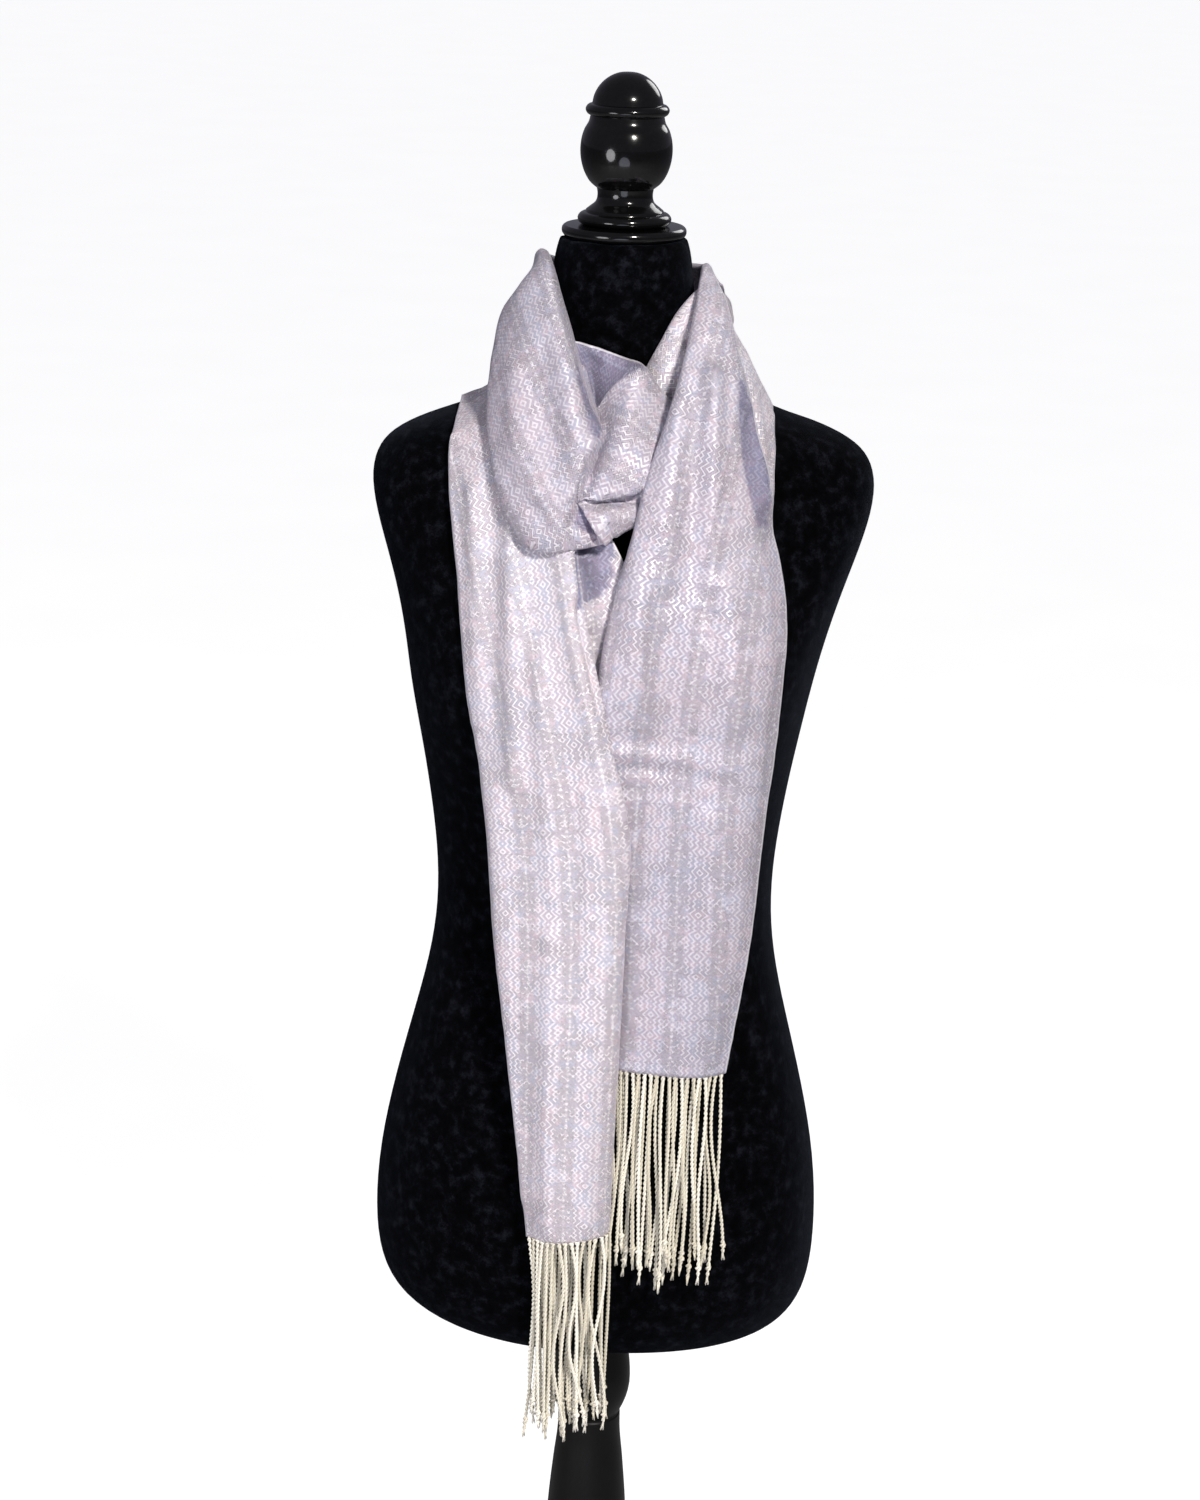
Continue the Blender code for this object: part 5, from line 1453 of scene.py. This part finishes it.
BASE_PROFILE = (
    (0.0220, 0.0000, 1), (0.0220, 0.0560, 1), (0.0217, 0.0600, 1), (0.0207, 0.1400, 1), (0.0196, 0.1500, 0),
    (0.0176, 0.1780, 1), (0.0162, 0.1822, 0), (0.0145, 0.1858, 0), (0.0110, 0.1895, 0), (0.0072, 0.1900, 0),
    (0.0035, 0.1890, 0), (0.0010, 0.1872, 0), (0.0000, 0.1852, 1), (0.0000, 0.0000, 1),
)


def turned_outline(profile, step):
    """A turned piece's outline: smooth between its sharp turns, with a point at each step."""
    points = np.array([(height, radius) for height, radius, _ in profile])
    breaks = [0] + [n for n in range(1, len(profile) - 1) if profile[n][2]] + [len(profile) - 1]
    outline = [points[0]]
    for low, high in zip(breaks[:-1], breaks[1:]):
        stretch = points[low:high + 1]
        knots = chord_knots(stretch)
        count = 1 if len(stretch) < 3 else max(2, round(knots[-1] / step))
        places = np.linspace(0, knots[-1], count + 1)[1:]
        outline += list(smooth(knots, stretch, places))
    return outline


def turn_piece(name, profile, step, sides):
    """A piece turned on the lathe: one point drawn along its outline and screwed round the pole."""
    outline = turned_outline(profile, step)
    deselect()
    bpy.ops.mesh.primitive_plane_add(size=0.001, location=(outline[0][1], 0, outline[0][0]))
    piece = bpy.context.object
    piece.name = piece.data.name = name
    edit_all()
    bpy.ops.mesh.merge(type="CENTER")
    for last, here in zip(outline[:-1], outline[1:]):
        bpy.ops.mesh.extrude_region_move(TRANSFORM_OT_translate={
            "value": (here[1] - last[1], 0, here[0] - last[0])})
    bpy.ops.object.mode_set(mode="OBJECT")
    bpy.ops.object.transform_apply(location=True, rotation=True, scale=True)
    screw = piece.modifiers.new("lathe", "SCREW")
    screw.axis, screw.angle, screw.steps, screw.render_steps = "Z", 2 * pi, sides, sides
    screw.use_merge_vertices, screw.merge_threshold = True, 1e-5
    apply_modifiers(piece)
    edit_all()
    bpy.ops.mesh.remove_doubles(threshold=2e-5)
    bpy.ops.mesh.normals_make_consistent(inside=False)
    bpy.ops.object.mode_set(mode="OBJECT")
    bpy.ops.object.shade_smooth_by_angle(angle=radians(32))
    return piece


class SCARF_OT_stand(PieceOperator, bpy.types.Operator):
    """Turn and lacquer the neck cap, the column and the foot"""

    bl_idname = "scarf.stand"
    bl_label = "Cap and Stand"

    def execute(self, context):
        gloss = lacquer_material("cap_lacquer", self.colours.lacquer, 0.9, 0.12)
        satin = lacquer_material("stand_lacquer", self.colours.lacquer, 0.15, 0.38)
        for name, node, profile, step, sides, finish, slot in (
            ("turned_cap", "neck_cap", CAP_PROFILE, 0.0012, 96, gloss, "gloss_black"),
            ("turned_column", "stand_column", COLUMN_PROFILE, 0.006, 80, satin, "satin_black"),
            ("turned_foot", "stand_base", BASE_PROFILE, 0.002, 128, satin, "satin_black"),
        ):
            finish_piece(turn_piece(name, profile, step, sides), finish, [node])
        return {"FINISHED"}


# Lamps: name, place, what each is aimed at, the disc's size, watts and colour.
LAMPS = (
    ("key", (1.00, -2.65, 3.10), (0, 0, 1.10), 0.40, 128.0, (1.0, 0.955, 0.90)),
    ("front", (-0.20, -2.60, 0.30), (0, 0, 0.75), 1.3, 12.0, (0.80, 0.84, 1.0)),
    ("fill", (-1.9, -2.3, 1.0), (0, 0, 1.0), 1.2, 32.0, (0.98, 0.96, 1.0)),
    ("rim", (1.2, 1.6, 2.3), (0, 0, 1.2), 1.0, 10.0, (1, 1, 1)),
)
FLOOR_RADIUS = 60
FLOOR_INSETS = (40, 16, 3)
FLOOR_GLOW = 0.92          # the floor's own light, for the camera alone
SKY_LIGHT = 0.20           # strength of the sky's light on the object
SKY_SEEN = 0.78            # and how much more the camera sees
CAMERA_PLACE = (-0.0065, -2.2, 1.715)
CAMERA_PITCH, CAMERA_ROLL = radians(17.4), radians(1.65)
FOCAL_PIXELS = 3085        # focal length in pixels of the photo's 1200 x 1500 frame
FRAME_PIXELS = 1500        # the frame's longer side
SENSOR = 36.0              # and its length on the sensor in millimetres


class SCARF_OT_stage(PieceOperator, bpy.types.Operator):
    """Set up the pale floor, the soft lights and the camera"""

    bl_idname = "scarf.stage"
    bl_label = "Stage"

    def execute(self, context):
        deselect()
        bpy.ops.mesh.primitive_circle_add(vertices=96, radius=FLOOR_RADIUS, fill_type="NGON",
                                          location=(0, 0, -0.0006))
        floor = context.object
        floor.name = floor.data.name = "floor"
        edit_all()
        for thickness in FLOOR_INSETS:
            bpy.ops.mesh.inset(thickness=thickness)
        bpy.ops.object.mode_set(mode="OBJECT")
        bpy.ops.object.transform_apply(location=True, rotation=True, scale=True)
        paper, b, shader = new_material("paper", Specular_IOR_Level=0.1, Roughness=0.9)
        grain = b.node("ShaderNodeTexNoise", {"Vector": object_place(b), "Scale": 3.0})
        shade = b.math("ADD", 0.95, b.math("MULTIPLY", grain.outputs[0], 0.03))
        white = b.mix(1.0, (1.0, 1.0, 1.0, 1), shade, "MULTIPLY")
        grey = b.mix(1.0, white, (0.42, 0.42, 0.42, 1), "MULTIPLY")
        b.feed(shader.inputs["Base Color"], grey)
        b.feed(shader.inputs["Emission Color"], white)
        seen = b.node("ShaderNodeLightPath").outputs["Is Camera Ray"]
        b.feed(shader.inputs["Emission Strength"], b.math("MULTIPLY", seen, FLOOR_GLOW))
        floor.data.materials.append(paper)

        for name, place, aim, size, power, colour in LAMPS:
            bpy.ops.object.light_add(type="AREA", location=place)
            lamp = context.object
            lamp.name = lamp.data.name = name
            lamp.data.shape, lamp.data.size = "DISK", size
            lamp.data.energy, lamp.data.color = power, colour
            lamp.rotation_euler = (Vector(aim) - Vector(place)).to_track_quat("-Z", "Y").to_euler()
        world = bpy.data.worlds.new("studio")
        context.scene.world = world
        world.use_nodes = True
        sky = Board(world.node_tree)
        seen = sky.node("ShaderNodeLightPath").outputs["Is Camera Ray"]
        ground = world.node_tree.nodes["Background"]
        sky.feed(ground.inputs[0], sky.mix(seen, (0.82, 0.82, 1.0, 1), (1.0, 1.0, 1.0, 1)))
        sky.feed(ground.inputs[1], sky.math("MULTIPLY_ADD", seen, SKY_SEEN, SKY_LIGHT))
        context.scene.view_settings.view_transform = "Standard"

        ahead = Vector((0, cos(CAMERA_PITCH), -sin(CAMERA_PITCH)))
        right = Vector((1, 0, 0))
        up = right.cross(ahead)
        across = cos(CAMERA_ROLL) * right + sin(CAMERA_ROLL) * up
        above = cos(CAMERA_ROLL) * up - sin(CAMERA_ROLL) * right
        bpy.ops.object.camera_add(location=CAMERA_PLACE)
        camera = context.object
        camera.name = camera.data.name = "camera"
        camera.rotation_euler = Matrix((across, above, -ahead)).transposed().to_euler()
        camera.data.sensor_width, camera.data.sensor_fit = SENSOR, "AUTO"
        camera.data.lens = FOCAL_PIXELS / FRAME_PIXELS * SENSOR
        context.scene.camera = camera
        return {"FINISHED"}


class SCARF_PT_panel(bpy.types.Panel):
    """Settings and steps of the scarf"""

    bl_idname = "SCARF_PT_panel"
    bl_label = "Scarf on a Form"
    bl_space_type = "VIEW_3D"
    bl_region_type = "UI"
    bl_category = "Scarf"

    def draw(self, context):
        layout = self.layout
        scene = context.scene
        for title, settings in (("Sizes", scene.scarf_sizes), ("Colours", scene.scarf_colours)):
            box = layout.box()
            box.label(text=title)
            for name in settings.__annotations__:
                box.prop(settings, name)
        box = layout.box()
        box.label(text="Pieces")
        for step in STEPS:
            box.operator(step.bl_idname)


STEPS = (SCARF_OT_stage, SCARF_OT_first_run, SCARF_OT_second_run, SCARF_OT_fringes,
         SCARF_OT_form, SCARF_OT_stand)
CLASSES = (ScarfSizes, ScarfColours, *STEPS, SCARF_PT_panel)


def register():
    """Register the settings, the steps and the panel."""
    for kind in CLASSES:
        bpy.utils.register_class(kind)
    bpy.types.Scene.scarf_sizes = PointerProperty(type=ScarfSizes)
    bpy.types.Scene.scarf_colours = PointerProperty(type=ScarfColours)


def unregister():
    """Undo register."""
    del bpy.types.Scene.scarf_sizes, bpy.types.Scene.scarf_colours
    for kind in reversed(CLASSES):
        bpy.utils.unregister_class(kind)


def main():
    """Make every piece in order."""
    register()
    bpy.ops.scarf.stage()
    bpy.ops.scarf.first_run()
    bpy.ops.scarf.second_run()
    bpy.ops.scarf.fringes()
    bpy.ops.scarf.form()
    bpy.ops.scarf.stand()


if __name__ == "__main__":
    main()
